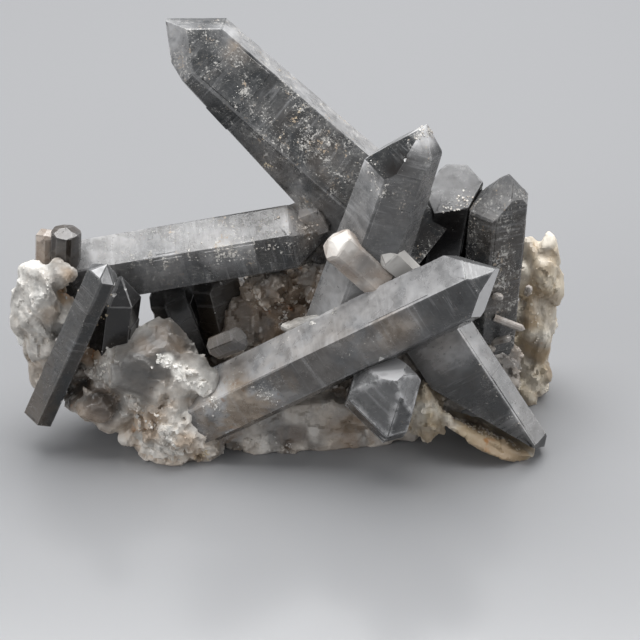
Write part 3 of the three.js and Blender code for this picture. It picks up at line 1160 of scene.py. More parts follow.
LUMPS: dict[str, Lump] = {
    "core": Lump((9, 6, 19), (45, 27, 25), 11, 11, Stuff.STAINED, (0.05, 0.35), (0.3, 0.9), grains=140),
    "saddle": Lump(
        (-42, -1, 11), (20, 24, 14), 18, 7, Stuff.STAINED, (0.1, 0.4), (0.3, 0.9), cuts=(SADDLE,), grains=60,
    ),
    "core_right": Lump((44, -4, 18), (36, 23, 23), 12, 9, Stuff.STAINED, (0.1, 0.4), (0.3, 0.8), grains=80),
    "core_left": Lump(
        (-61, -14, 28), (21, 14, 17), 13, 9, Stuff.STAINED, (0.1, 0.5), (0.3, 0.9), cuts=(SADDLE,), grains=50,
    ),
    "core_top": Lump((22, 3, 46), (27, 17, 22), 14, 7, Stuff.STAINED, (0.05, 0.3), (0.3, 0.9), grains=60),
    "far_left": Lump(
        (-82, -17, 47), (11, 12, 19), 1, 7, Stuff.MILKY, (0.6, 0.95), (0.0, 0.25), Skin.FIBROUS, grains=12,
    ),
    "far_left_low": Lump(
        (-80, -19, 31), (9, 10, 15), 22, 5, Stuff.MILKY, (0.3, 0.8), (0.1, 0.6), Skin.FIBROUS, grains=10,
    ),
    "bump": Lump(
        (-76, -17, 61), (6.5, 6, 5.5), 19, 4, Stuff.MILKY, (0.5, 0.8), (0.2, 0.5), Skin.ROUNDED, flats=20,
    ),
    "brown_base": Lump(
        (-63, -25, 16), (14, 13, 11), 3, 7, Stuff.STAINED, (0.1, 0.5), (0.4, 0.9), Skin.ROUNDED,
        flats=18, grains=20,
    ),
    "granular": Lump(
        (-39, -31, 8), (17, 12, 17), 4, 12, Stuff.MILKY, (0.45, 0.95), (0.1, 0.6), Skin.GRANULAR,
        grains=40, grain_size=(2, 4),
    ),
    "strip": Lump(
        (-5, -18, 6), (44, 25, 13), 5, 12, Stuff.STAINED, (0.2, 0.6), (0.2, 0.6), Skin.GLASSY, flats=14,
        cuts=(Cut((0.13, -0.93, 0.34), (4, -34, 0)), Cut((0, -0.3, 0.95), (4, -30, 15))), grains=20,
    ),
    "strip_right": Lump(
        (38, -20, 9), (18, 12, 11), 15, 6, Stuff.STAINED, (0.2, 0.6), (0.2, 0.6), Skin.GLASSY,
        flats=14, grains=10,
    ),
    "smoky_break": Lump(
        (-47, -26, 29), (18, 14, 17), 6, 6, Stuff.MILKY, (0.1, 0.4), (0.0, 0.2), Skin.GLASSY,
        cuts=(
            Cut((-0.25, -0.85, 0.45), (-47.5, -37, 37.5)), Cut((0.25, -0.75, 0.6), (-40, -36.5, 33)),
            Cut((-0.1, -0.2, 0.97), (-38, -28, 42)),
        ),
    ),
    "smoky_foot": Lump(
        (-35, -30, 27), (11, 10, 13), 20, 4, Stuff.MILKY, (0.2, 0.5), (0.1, 0.3), Skin.GLASSY, flats=14,
        cuts=(Cut((0.25, -0.75, 0.6), (-40, -36.5, 33)),),
    ),
    "pale_round": Lump(
        (7.5, -25, 41.5), (11, 8, 8), 16, 3, Stuff.MILKY, (0.6, 0.8), (0.1, 0.2), Skin.ROUNDED, flats=18,
    ),
    "honey_top": Lump(
        (84.5, 7, 45), (9, 10, 16), 7, 7, Stuff.HONEY, (0.5, 0.9), (0.2, 0.6), Skin.GLASSY,
        flats=20, grains=6,
    ),
    "honey_middle": Lump(
        (83, 5, 23), (9, 11, 23), 8, 8, Stuff.HONEY, (0.4, 0.8), (0.3, 0.8), Skin.GLASSY, flats=20, grains=6,
    ),
    "honey_low": Lump(
        (82, 1, 6), (9, 10, 12), 9, 5, Stuff.HONEY, (0.3, 0.6), (0.5, 0.9), Skin.GLASSY, flats=18, grains=8,
    ),
    "crust": Lump(
        (69, -33, 5), (26, 8.5, 2.8), 10, 8, Stuff.HONEY, (0.4, 0.9), (0.3, 0.8), Skin.GLASSY,
        turn=27, flats=16, grains=8,
    ),
    "crumb": Lump(
        (45, -30, 15), (7.5, 8, 12), 17, 5, Stuff.HONEY, (0.4, 0.7), (0.4, 0.9), Skin.BROKEN, grains=4,
    ),
    "under_beam": Lump((-6, -2, 45), (12, 9, 10), 21, 5, Stuff.STAINED, (0.1, 0.4), (0.6, 1.0), grains=20),
}


def surface_tree(meshes: list[bpy.types.Mesh]) -> BVHTree:
    """Makes a search tree over the faces of some meshes.

    Args:
        meshes: The meshes.

    Returns:
        The tree, which numbers the faces in the order of the meshes.
    """
    corners: list[Vector] = []
    faces: list[list[int]] = []
    for mesh in meshes:
        start = len(corners)
        corners += [vertex.co.copy() for vertex in mesh.vertices]
        faces += [[start + index for index in polygon.vertices] for polygon in mesh.polygons]
    return BVHTree.FromPolygons(corners, faces)


class SkinTransfer:
    """Carries the finish of the base's blocks over to its even mesh, and raises the relief."""

    def __init__(self, blocks: bpy.types.Mesh, mesh: bpy.types.Mesh) -> None:
        """Finds the block under every corner.

        Args:
            blocks: The joined blocks.
            mesh: The even mesh of them.
        """
        self.blocks = blocks
        self.mesh = mesh
        tree = surface_tree([blocks])
        self.corners = [vertex.co.copy() for vertex in mesh.vertices]
        self.sources = [tree.find_nearest(corner)[2] for corner in self.corners]
        self.looks: list[Vector] = []

    def run(self) -> None:
        """Does all of it."""
        self.find_looks()
        self.colour_faces()
        self.raise_relief()
        self.paint()
        self.mesh.set_sharp_from_angle(angle=math.radians(SHARP_ANGLE))

    def find_looks(self) -> None:
        """Works out the look of every corner from its block and the patches."""
        source_looks = self.blocks.attributes[LOOK].data
        for corner, source in zip(self.corners, self.sources):
            look = Vector(source_looks[self.blocks.polygons[source].loop_start].vector)
            for patch in PATCHES:
                look = patch.over(FROM_FRAME @ corner, look)
            self.looks.append(look)

    def colour_faces(self) -> None:
        """Gives every face the quartz of the block under it."""
        # Clearing puts every face in the first slot, so it's done before the faces get theirs.
        self.mesh.materials.clear()
        add_materials(self.mesh)
        for polygon in self.mesh.polygons:
            source = self.blocks.polygons[self.sources[polygon.vertices[0]]]
            polygon.material_index = source.material_index
            polygon.use_smooth = True

    def raise_relief(self) -> None:
        """Moves every corner along its normal by the relief of its skin."""
        skins = self.blocks.attributes[SKIN_MARK].data
        normals = [vertex.normal.copy() for vertex in self.mesh.vertices]
        moved: list[float] = []
        for corner, normal, source, look in zip(self.corners, normals, self.sources, self.looks):
            skin = SKIN_ORDER[skins[source].value]
            if skin is Skin.GLASSY and look.z > BREAK_FROST:
                skin = Skin.BROKEN
            moved.extend(corner + normal * (RELIEFS[skin].height(FROM_FRAME @ corner) * MM))
        self.mesh.vertices.foreach_set("co", moved)
        self.mesh.update()

    def bulges(self) -> list[float]:
        """Measures how far every corner stands out from its neighbours.

        Returns:
            A value from -1 to 1 for every corner.
        """
        corners = [vertex.co.copy() for vertex in self.mesh.vertices]
        sums = [0.0] * len(corners)
        counts = [0] * len(corners)
        normals = [vertex.normal.copy() for vertex in self.mesh.vertices]
        for edge in self.mesh.edges:
            one, two = edge.vertices
            way = (corners[one] - corners[two]).normalized()
            sums[one] += way.dot(normals[one])
            sums[two] -= way.dot(normals[two])
            counts[one] += 1
            counts[two] += 1
        return [total / max(1, count) for total, count in zip(sums, counts)]

    def paint(self) -> None:
        """Stores look, edge and dust on every corner."""
        looks: list[float] = []
        edges: list[float] = []
        for look, bulge in zip(self.looks, self.bulges()):
            look.y += max(0.0, -bulge) * HOLLOW_STAIN
            looks.extend(look)
            # Ridges get an edge value, which the materials paint pale for wear and as a highlight.
            edges.append(min(1.0, max(0.0, (bulge - LEAST_BULGE) * BULGE_GAIN)))
        dusts = [BASE_DUST] * len(edges)
        self.mesh.attributes.new(LOOK, "FLOAT_VECTOR", "POINT").data.foreach_set("vector", looks)
        self.mesh.attributes.new(EDGE, "FLOAT", "POINT").data.foreach_set("value", edges)
        self.mesh.attributes.new(DUST, "FLOAT", "POINT").data.foreach_set("value", dusts)


# ---------------------------------------------------------------------------------------------
# Crumbs
# ---------------------------------------------------------------------------------------------


CRUMB_SPREAD = 0.45  # as a share of the reach
CRUMB_WIDTH = (0.5, 1.0)
CRUMB_HEIGHT = (0.35, 0.8)
CRUMB_TILT = 0.35
CRUMB_BREAK = (0.55, 1.25)
CRUMB_FROST = 0.5
CRUMB_EDGE = 0.4


@dataclass(frozen=True)
class Sprinkle:
    """Broken bits strewn along a line between two places, in growth millimetres.

    reach is how widely they spread round it, count how many there are and size their usual least and
    most length. milk and stain are the least and most of each.
    """

    start: Triple
    end: Triple
    reach: float
    count: int
    size: Pair = (0.25, 0.8)
    stuff: Stuff = Stuff.MILKY
    milk: Pair = (0.4, 1.0)
    stain: Pair = (0.0, 0.5)

    def bits(self, tree: BVHTree, rng: Random) -> bmesh.types.BMesh:
        """Makes the bits, each sunk in the nearest surface.

        Args:
            tree: The surfaces they lie on.
            rng: Source of their places and shapes.

        Returns:
            The bits, in the part's frame.
        """
        bm = bmesh.new()
        add_corner_layers(bm)
        grown = bm.loops.layers.float_vector[GROWN]
        looks = bm.loops.layers.float_vector[LOOK]
        edge_value = bm.loops.layers.float[EDGE]
        for _ in range(self.count):
            at = Vector(self.start).lerp(Vector(self.end), rng.random())
            at += Vector([rng.gauss(0.0, CRUMB_SPREAD) * self.reach for _ in range(3)])
            near, normal, _, _ = tree.find_nearest(TO_FRAME @ at)
            small = self.size[0] + (self.size[1] - self.size[0]) * rng.random() ** 2
            size = Vector((small, small * rng.uniform(*CRUMB_WIDTH), small * rng.uniform(*CRUMB_HEIGHT))) * MM
            turn = UP.rotation_difference(normal).to_matrix()
            turn = turn @ Matrix.Rotation(rng.uniform(0, math.tau), 3, "Z")
            turn = turn @ Matrix.Rotation(rng.gauss(0.0, CRUMB_TILT), 3, "X")
            made = bmesh.ops.create_cube(bm, size=1.0)
            milk = rng.uniform(*self.milk)
            stain = rng.uniform(*self.stain)
            for vert in made["verts"]:
                corner = Vector([value * rng.uniform(*CRUMB_BREAK) for value in vert.co])
                vert.co = near + turn @ Vector([value * scale for value, scale in zip(corner, size)])
            for face in {face for vert in made["verts"] for face in vert.link_faces}:
                face.material_index = STUFF_ORDER.index(self.stuff)
                for loop in face.loops:
                    loop[grown] = loop.vert.co
                    loop[looks] = Vector((milk, stain, CRUMB_FROST))
                    loop[edge_value] = CRUMB_EDGE
        return bm


# Bits along the crystals' edges, in the hollows between them and on the broken base.
SPRINKLES: list[Sprinkle] = [
    Sprinkle((-22, 13, 131), (-18, 8, 123), 5, 30, (0.1, 0.35)),
    Sprinkle((-18, 8, 123), (-5, -1, 105), 5, 60, (0.1, 0.35), stain=(0.0, 0.8)),
    Sprinkle((-5, -1, 105), (17, 2, 99), 6, 80, (0.1, 0.35), stain=(0.0, 0.8)),
    Sprinkle((4.8, 6.9, 110.9), (-2.9, -1.8, 103.3), 0.9, 26, (0.25, 0.7), Stuff.HONEY, stain=(0.5, 1.0)),
    Sprinkle((-7.3, -1.2, 93), (-6, -1.5, 94), 1.4, 16, (0.3, 1.0), Stuff.HONEY, stain=(0.6, 1.0)),
    Sprinkle((-6, -2, 94.5), (0, -4.3, 98.8), 0.7, 14, (0.2, 0.6)),
    Sprinkle((-40, -13, 63), (4, -13, 71), 2.5, 70, (0.2, 0.8), stain=(0.0, 0.4)),
    Sprinkle((-25, -14, 70), (-17, -14, 66), 3.0, 70, (0.2, 0.8), stain=(0.0, 0.3)),
    Sprinkle((-45.6, -11, 66), (-45.5, -13.2, 62.5), 1.0, 60, (0.15, 0.6), stain=(0.0, 0.3)),
    Sprinkle((-41, -12.5, 65), (-41, -13.8, 60.5), 0.9, 50, (0.15, 0.6), stain=(0.0, 0.3)),
    Sprinkle((-33, -12.5, 68), (-33, -13.8, 64), 0.8, 24, (0.15, 0.5), stain=(0.0, 0.3)),
    Sprinkle((-23.4, -13.5, 70), (-23.5, -14.1, 63), 1.3, 80, (0.15, 0.7), stain=(0.0, 0.3)),
    Sprinkle((-19, -13.5, 71), (-19, -14.1, 66), 0.9, 50, (0.15, 0.6), stain=(0.0, 0.3)),
    Sprinkle((-52, -10.5, 65), (-51.5, -12.5, 61), 0.8, 24, (0.15, 0.5), stain=(0.0, 0.3)),
    Sprinkle((-12, -13.5, 73), (-11.5, -14.1, 69.5), 1.0, 30, (0.15, 0.5), stain=(0.0, 0.4)),
    Sprinkle((-45, -6, 69), (-5, -7, 75), 5, 50, (0.15, 0.5), stain=(0.0, 0.5)),
    Sprinkle((-2, -8, 77), (8, -9, 73), 4, 50, (0.2, 0.8), stain=(0.2, 0.8)),
    Sprinkle((26, -15, 104), (30, -25, 96), 3, 40, (0.15, 0.6), stain=(0.0, 0.3)),
    Sprinkle((31.7, -24.8, 100.6), (29.5, -25.2, 96), 0.7, 30, (0.2, 0.7), stain=(0.0, 0.1)),
    Sprinkle((41.2, -15.7, 112.6), (45.5, -12.4, 113.1), 1.8, 60, (0.2, 0.9), stain=(0.0, 0.5)),
    Sprinkle((39.6, -24.5, 101.2), (34.9, -25.2, 90), 2.0, 30, (0.12, 0.45), stain=(0.3, 0.8)),
    Sprinkle((52, -8, 84), (60, -5, 84), 4, 50, (0.2, 0.8)),
    Sprinkle((59.7, -9.8, 82), (59.7, -9.8, 60), 2.0, 40, (0.15, 0.5), stain=(0.2, 0.7)),
    Sprinkle((71.7, -11.6, 76), (70.6, -13.2, 45), 3.0, 50, (0.1, 0.4), stain=(0.3, 0.9)),
    Sprinkle((-28, -36, 27), (-24, -39, 22), 3, 90, (0.2, 0.8), stain=(0.0, 0.3)),
    Sprinkle((-11, -40.5, 31), (-5, -40.6, 27), 3, 70, (0.15, 0.6), stain=(0.0, 0.4)),
    Sprinkle((-20, -33, 33), (16, -31, 56), 2.0, 40, (0.15, 0.5), stain=(0.0, 0.3)),
    Sprinkle((7.7, -31.1, 50.7), (8.0, -31.1, 51), 0.8, 16, (0.3, 0.9), stain=(0.0, 0.1)),
    Sprinkle((15.9, -30.4, 56.5), (14, -31, 54), 1.5, 20, (0.2, 0.6), stain=(0.0, 0.1)),
    Sprinkle((14, -41, 47), (40, -43, 58), 5, 30, (0.1, 0.35)),
    Sprinkle((48, -31, 14), (80, -38, 5), 2.0, 110, (0.3, 1.1), Stuff.HONEY, stain=(0.2, 0.9)),
    Sprinkle((50, -31, 16), (76, -36, 7), 1.5, 120, (0.3, 1.0), Stuff.STAINED, (0.0, 0.3), (0.2, 0.8)),
    Sprinkle((62, -32, 33), (76, -37, 15), 3.0, 30, (0.15, 0.5), stain=(0.1, 0.6)),
    Sprinkle((-43, -35, 40), (-29, -37, 30), 2.5, 90, (0.4, 1.5), milk=(0.9, 1.3), stain=(0.0, 0.1)),
    Sprinkle((-61.5, -29.8, 36), (-64, -29, 28), 4, 60, (0.4, 1.4), stain=(0.0, 0.4)),
    Sprinkle((-52, -38, 22), (-40, -42, 10), 4, 70, (0.4, 1.5), stain=(0.0, 0.6)),
    Sprinkle((-40, -42, 15), (-38, -41, 4), 3, 50, (0.5, 1.6), stain=(0.0, 0.3)),
    Sprinkle((-30, -39.7, 2.1), (-28, -39, 4), 2.5, 24, (0.4, 1.0), Stuff.HONEY, stain=(0.8, 1.5)),
    Sprinkle((-18, -35, 4), (0, -33, 2), 2.5, 50, (0.3, 1.0), stain=(0.0, 0.5)),
    Sprinkle((-12, -8, 45), (8, -6, 42), 7, 120, (0.4, 1.5), Stuff.STAINED, stain=(0.3, 1.0)),
    Sprinkle((-70, -22, 60), (-78, -25, 35), 7, 50, (0.3, 1.0), stain=(0.0, 0.8)),
    Sprinkle((-64, -22, 60), (-60, -22, 50), 5, 70, (0.4, 1.2), Stuff.HONEY, stain=(0.5, 1.5)),
    Sprinkle((84.6, 1, 53.5), (84, -4, 20), 6, 50, (0.3, 1.2), Stuff.HONEY, stain=(0.1, 0.8)),
    Sprinkle((-30, 25, 20), (60, 25, 20), 20, 260, (0.4, 1.5), Stuff.STAINED, stain=(0.1, 1.0)),
]


# ---------------------------------------------------------------------------------------------
# Materials
# ---------------------------------------------------------------------------------------------


class Group:
    """A shader node group in the making."""

    def __init__(self, name: str, inputs: dict[str, tuple[str, float]], outputs: dict[str, str]) -> None:
        """Makes the group and its sockets.

        Args:
            name: Name of the group.
            inputs: Socket name to its kind and default.
            outputs: Socket name to its kind.
        """
        self.tree = bpy.data.node_groups.new(name, "ShaderNodeTree")
        for socket, (kind, default) in inputs.items():
            made = self.tree.interface.new_socket(socket, in_out="INPUT", socket_type=f"NodeSocket{kind}")
            if kind == "Float":
                made.default_value = default
        for socket, kind in outputs.items():
            self.tree.interface.new_socket(socket, in_out="OUTPUT", socket_type=f"NodeSocket{kind}")
        self.source = self.tree.nodes.new("NodeGroupInput")
        self.sink = self.tree.nodes.new("NodeGroupOutput")

    def read(self, socket: str) -> Socket:
        """An input socket as the group's nodes see it."""
        return self.source.outputs[socket]

    def put(self, socket: str, value: Socket) -> None:
        """Links a value to an output of the group."""
        self.tree.links.new(value, self.sink.inputs[socket])


class Nodes:
    """Adds nodes to a tree and links them."""

    def __init__(self, tree: bpy.types.NodeTree) -> None:
        """Works on this tree."""
        self.tree = tree

    def feed(self, socket: Socket, value: Value) -> None:
        """Links a value to a socket, or sets the socket to it.

        Args:
            socket: The socket.
            value: An output socket, a number, a colour or three numbers.
        """
        if isinstance(value, bpy.types.NodeSocket):
            self.tree.links.new(value, socket)
        elif socket.type == "RGBA":
            socket.default_value = (*value, 1.0)
        else:
            socket.default_value = value

    def add(self, kind: str, settings: dict[str, object] | None = None, **inputs: Value) -> bpy.types.Node:
        """Adds a node.

        Args:
            kind: Node type without the ShaderNode prefix.
            settings: Properties of the node.
            inputs: Socket name, with spaces as underscores, to a value or an output socket.

        Returns:
            The node.
        """
        node = self.tree.nodes.new(f"ShaderNode{kind}")
        for name, value in (settings or {}).items():
            setattr(node, name, value)
        for name, value in inputs.items():
            self.feed(node.inputs[name.replace("_", " ")], value)
        return node

    def math(
        self, operation: str, one: Value, two: Value = 0.0, three: Value = 0.0, clamp: bool = False
    ) -> Socket:
        """Adds a maths node.

        Args:
            operation: What it does.
            one: First input.
            two: Second input.
            three: Third input, where the operation has one.
            clamp: Whether the result is kept from 0 to 1.

        Returns:
            The result.
        """
        node = self.tree.nodes.new("ShaderNodeMath")
        node.operation = operation
        node.use_clamp = clamp
        for socket, value in zip(node.inputs, (one, two, three)):
            self.feed(socket, value)
        return node.outputs[0]

    def ramp(self, value: Socket, low: float, high: float, top: float = 1.0) -> Socket:
        """Adds a smooth step.

        Args:
            value: What is stepped.
            low: Where the step starts, at nothing.
            high: Where it ends.
            top: What it ends at.

        Returns:
            The stepped value.
        """
        settings = {"interpolation_type": "SMOOTHSTEP"}
        node = self.add("MapRange", settings, Value=value, From_Min=low, From_Max=high, To_Max=top)
        return node.outputs["Result"]

    def blend(self, share: Value, one: Value, two: Value) -> Socket:
        """Blends two colours.

        Args:
            share: How much of the second one there is.
            one: First colour.
            two: Second colour.

        Returns:
            The blended colour.
        """
        node = self.tree.nodes.new("ShaderNodeMix")
        node.data_type = "RGBA"
        node.clamp_factor = True
        for socket, value in zip((node.inputs[0], node.inputs[6], node.inputs[7]), (share, one, two)):
            self.feed(socket, value)
        return node.outputs[2]

    def noise(
        self, vector: Socket, scale: float, detail: float = 3.0, rough: float = 0.5, distort: float = 0.0
    ) -> Socket:
        """Adds a noise texture.

        Args:
            vector: Where it is read.
            scale: How fine it is.
            detail: How many finer layers it has.
            rough: How strong those are.
            distort: How much it is stirred.

        Returns:
            A value from 0 to 1.
        """
        node = self.add(
            "TexNoise", None, Vector=vector, Scale=scale, Detail=detail, Roughness=rough, Distortion=distort
        )
        return node.outputs[0]

    def stretch(self, vector: Socket, scale: Triple, turn: Triple = (0.0, 0.0, 0.0)) -> Socket:
        """A vector scaled and turned by a mapping node."""
        return self.add("Mapping", None, Vector=vector, Scale=scale, Rotation=turn).outputs[0]


def haze_group() -> bpy.types.NodeTree:
    """Milky haze in broad clouds and fine wisps, with pale, broken lines along edges, for wear and as a
    painted highlight.

    Returns:
        The node group.
    """
    group = Group(
        "milky_haze",
        {
            "Place": ("Vector", 0), "Grown": ("Vector", 0), "Milk": ("Float", 0.3), "Frost": ("Float", 0.2),
            "Edge": ("Float", 0.0), "Edge Milk": ("Float", 0.3),
        },
        {"Haze": "Float", "Wisps": "Float"},
    )
    n = Nodes(group.tree)
    broad = n.ramp(n.noise(group.read("Place"), 50.0, 4.0, 0.55, 0.9), 0.36, 0.64)
    wisps = n.ramp(n.noise(group.read("Place"), 300.0, 4.0, 0.6, 0.5), 0.3, 0.7)
    bands = n.ramp(n.noise(n.stretch(group.read("Grown"), (0.09, 0.09, 0.16)), 1.0, 3.0, 0.6), 0.36, 0.64)
    thick = n.math("MULTIPLY_ADD", broad, 1.1, 0.25)
    thick = n.math("MULTIPLY", thick, n.math("MULTIPLY_ADD", wisps, 0.5, 0.7))
    body = n.math("MULTIPLY", group.read("Milk"), thick, clamp=True)
    film = n.math("MULTIPLY_ADD", bands, 0.32, n.math("MULTIPLY_ADD", wisps, 0.3, 0.5))
    film = n.math("MULTIPLY", group.read("Frost"), film)
    # Pale lines along edges: wear, and a painted highlight that the edges catch.
    worn = n.math("MULTIPLY", n.math("POWER", group.read("Edge"), 2.0), wisps)
    worn = n.math("MULTIPLY", worn, group.read("Edge Milk"))
    group.put("Haze", n.math("ADD", n.math("ADD", body, film), worn, clamp=True))
    group.put("Wisps", wisps)
    return group.tree


def growth_line_group() -> bpy.types.NodeTree:
    """Fine pale and dark lines across a crystal's axis, and the waviness of its faces.

    Returns:
        The node group.
    """
    group = Group(
        "growth_lines",
        {"Grown": ("Vector", 0), "Place": ("Vector", 0)},
        {"Pale": "Float", "Dark": "Float", "Height": "Float"},
    )
    n = Nodes(group.tree)
    pale = n.noise(n.stretch(group.read("Grown"), (0.06, 0.06, 0.8)), 1.0, 4.0, 0.65)
    dark = n.noise(n.stretch(group.read("Grown"), (0.08, 0.08, 0.7), (0.08, 0.05, 0.0)), 1.0, 3.0, 0.6)
    steps = n.noise(n.stretch(group.read("Grown"), (0.12, 0.12, 0.35)), 1.0, 3.0, 0.55)
    waves = n.noise(group.read("Place"), 120.0, 2.0, 0.5)
    fading = n.ramp(n.noise(group.read("Place"), 70.0, 3.0), 0.36, 0.6)
    pale = n.math("MULTIPLY", n.ramp(pale, 0.54, 0.66), fading)
    group.put("Pale", pale)
    group.put("Dark", n.math("MULTIPLY", n.ramp(dark, 0.55, 0.66), fading))
    height = n.math("ADD", n.math("MULTIPLY", pale, 0.2), n.math("MULTIPLY", steps, 0.7))
    group.put("Height", n.math("ADD", height, n.math("MULTIPLY", waves, 0.5)))
    return group.tree


def speck_group() -> bpy.types.NodeTree:
    """White and rusty specks, smudges and scratches, as thick as the dust value says.

    Returns:
        The node group.
    """
    group = Group(
        "specks",
        {"Place": ("Vector", 0), "Dust": ("Float", 0.2)},
        {"Speck": "Float", "Rust": "Float", "Smudge": "Float"},
    )
    n = Nodes(group.tree)
    place = group.read("Place")
    patches = n.noise(place, 110.0, 4.0, 0.65)
    thick = n.math("MULTIPLY", group.read("Dust"), n.ramp(patches, 0.3, 0.68))
    total: Socket | None = None
    for scale, low in ((1300.0, 0.72), (650.0, 0.735)):
        grains = n.noise(place, scale, 3.0, 0.75)
        level = n.math("SUBTRACT", grains, n.math("SUBTRACT", low, n.math("MULTIPLY", thick, 0.17)))
        speck = n.math("MULTIPLY", level, 30.0, clamp=True)
        total = speck if total is None else n.math("MAXIMUM", total, speck)
    for turn in ((0.2, 0.9, 0.4), (0.9, 0.3, 1.3)):
        streaks = n.noise(n.stretch(place, (170.0, 3200.0, 3200.0), turn), 1.0, 1.0)
        scratch = n.math("MULTIPLY", n.ramp(streaks, 0.67, 0.75, 0.7), thick)
        total = n.math("MAXIMUM", total, scratch)
    hue = n.noise(place, 260.0, 2.0, 0.6)
    group.put("Speck", total)
    group.put("Rust", n.math("MULTIPLY", total, n.ramp(hue, 0.56, 0.62)))
    group.put("Smudge", n.math("MULTIPLY", thick, n.ramp(n.noise(place, 420.0, 4.0, 0.7), 0.4, 0.7)))
    return group.tree


GROUPS: dict[str, bpy.types.NodeTree] = {}
# Black of the darkest quartz and of dark growth lines; where milk falls below nothing it also paints shade.
BLACK_QUARTZ_AND_SHADE = (0.012, 0.012, 0.013)
QUARTZ_IOR = 1.544


@dataclass(frozen=True)
class QuartzFinish:
    """One kind of quartz.

    dark, milky, stained, tinted (stained where milky), rusty and speck are its colours. rough is its
    gloss range, relief the depth of its fine relief in millimetres and edge_wear_glint how pale its edges
    are painted, for their wear and for the highlight they catch. clear is how much of it lets light through
    and soak how fast that light is lost per metre, to the colour kept. grain is the scale of its broken
    texture, and lined how much its growth lines show.
    """

    dark: Triple
    milky: Triple
    stained: Triple
    tinted: Triple
    rusty: Triple
    rough: Pair
    relief: float
    edge_wear_glint: float
    clear: float = 0.0
    soak: float = 0.0
    kept: Triple = (1.0, 1.0, 1.0)
    grain: float = 0.0
    lined: float = 0.0
    speck: Triple = (0.74, 0.72, 0.68)

    def material(self, name: str) -> bpy.types.Material:
        """Builds the material.

        Args:
            name: Its name.

        Returns:
            The material.
        """
        material = bpy.data.materials.new(name)
        material.use_nodes = True
        tree = material.node_tree
        tree.nodes.clear()
        n = Nodes(tree)
        place = n.add("TexCoord").outputs["Object"]
        grown = n.add("Attribute", {"attribute_name": GROWN}).outputs["Vector"]
        look = n.add("Attribute", {"attribute_name": LOOK}).outputs["Vector"]
        milk, stain, frost = n.add("SeparateXYZ", None, Vector=look).outputs
        edge = n.add("Attribute", {"attribute_name": EDGE}).outputs["Fac"]
        dust = n.add("Attribute", {"attribute_name": DUST}).outputs["Fac"]

        haze = n.add(
            "Group", {"node_tree": GROUPS["haze"]},
            Place=place, Grown=grown, Milk=milk, Frost=frost, Edge=edge, Edge_Milk=self.edge_wear_glint,
        )
        lines = n.add("Group", {"node_tree": GROUPS["lines"]}, Grown=grown, Place=place)
        specks = n.add("Group", {"node_tree": GROUPS["specks"]}, Place=place, Dust=dust)

        stains = n.noise(place, 75.0, 4.0, 0.6, 0.5)
        stain_share = n.math("MULTIPLY", n.ramp(stains, 0.3, 0.6), stain, clamp=True)
        rust = n.math("SUBTRACT", n.noise(place, 160.0, 4.0, 0.6), n.math("MULTIPLY_ADD", stain, -0.06, 0.7))
        rust_share = n.math("MULTIPLY", n.math("MULTIPLY", rust, 7.0, clamp=True), stain, clamp=True)
        # Milk below nothing darkens towards black: dark smoky quartz, and painted shade on the dark stump's
        # front, the shade tooth and the back tooth.
        colour = n.blend(n.math("MULTIPLY", milk, -1.0, clamp=True), self.dark, BLACK_QUARTZ_AND_SHADE)
        colour = n.blend(n.math("MULTIPLY", lines.outputs["Dark"], 0.7 * self.lined), colour, BLACK_QUARTZ_AND_SHADE)
        colour = n.blend(stain_share, colour, self.stained)
        milky = n.blend(n.math("MULTIPLY", stain_share, 0.8), self.milky, self.tinted)
        colour = n.blend(haze.outputs["Haze"], colour, milky)
        grey = n.math("ADD", milk, 1.0, clamp=True)
        pale = n.math("MULTIPLY", n.math("MULTIPLY", lines.outputs["Pale"], 0.2 * self.lined), grey)
        colour = n.blend(pale, colour, self.milky)
        smudge = n.math("MULTIPLY", n.math("MULTIPLY", specks.outputs["Smudge"], 0.11), grey)
        colour = n.blend(smudge, colour, self.speck)
        colour = n.blend(rust_share, colour, self.rusty)
        colour = n.blend(n.math("MULTIPLY", specks.outputs["Speck"], 0.85), colour, self.speck)
        colour = n.blend(specks.outputs["Rust"], colour, self.tinted)

        gloss = n.math("MULTIPLY", n.noise(place, 200.0, 3.0), 0.4)
        gloss = n.math("MULTIPLY_ADD", haze.outputs["Haze"], 0.5, gloss)
        gloss = n.math("ADD", gloss, specks.outputs["Smudge"], clamp=True)
        rough = n.add("MapRange", None, Value=gloss, To_Min=self.rough[0], To_Max=self.rough[1])

        height = n.math("MULTIPLY", lines.outputs["Height"], self.lined)
        height = n.math("MULTIPLY_ADD", specks.outputs["Speck"], 0.4, height)
        height = n.math("MULTIPLY_ADD", haze.outputs["Wisps"], 0.3, height)
        if self.grain > 0.0:
            broken = n.add("TexVoronoi", {"feature": "F1"}, Vector=place, Scale=self.grain)
            height = n.math("ADD", height, n.math("MULTIPLY", broken.outputs["Distance"], 1.2))
            height = n.math("ADD", height, n.noise(place, self.grain * 0.6, 5.0, 0.65))
        bump = n.add("Bump", None, Height=height, Strength=1.0, Distance=self.relief * MM)

        shader = n.add(
            "BsdfPrincipled", None,
            Base_Color=colour, Roughness=rough.outputs["Result"], Normal=bump.outputs["Normal"],
            IOR=QUARTZ_IOR, Transmission_Weight=self.clear,
        )
        out = n.add("OutputMaterial", None, Surface=shader.outputs["BSDF"])
        if self.clear > 0.0:
            soak = n.add("VolumeAbsorption", None, Density=self.soak, Color=self.kept)
            n.feed(out.inputs["Volume"], soak.outputs["Volume"])
        return material


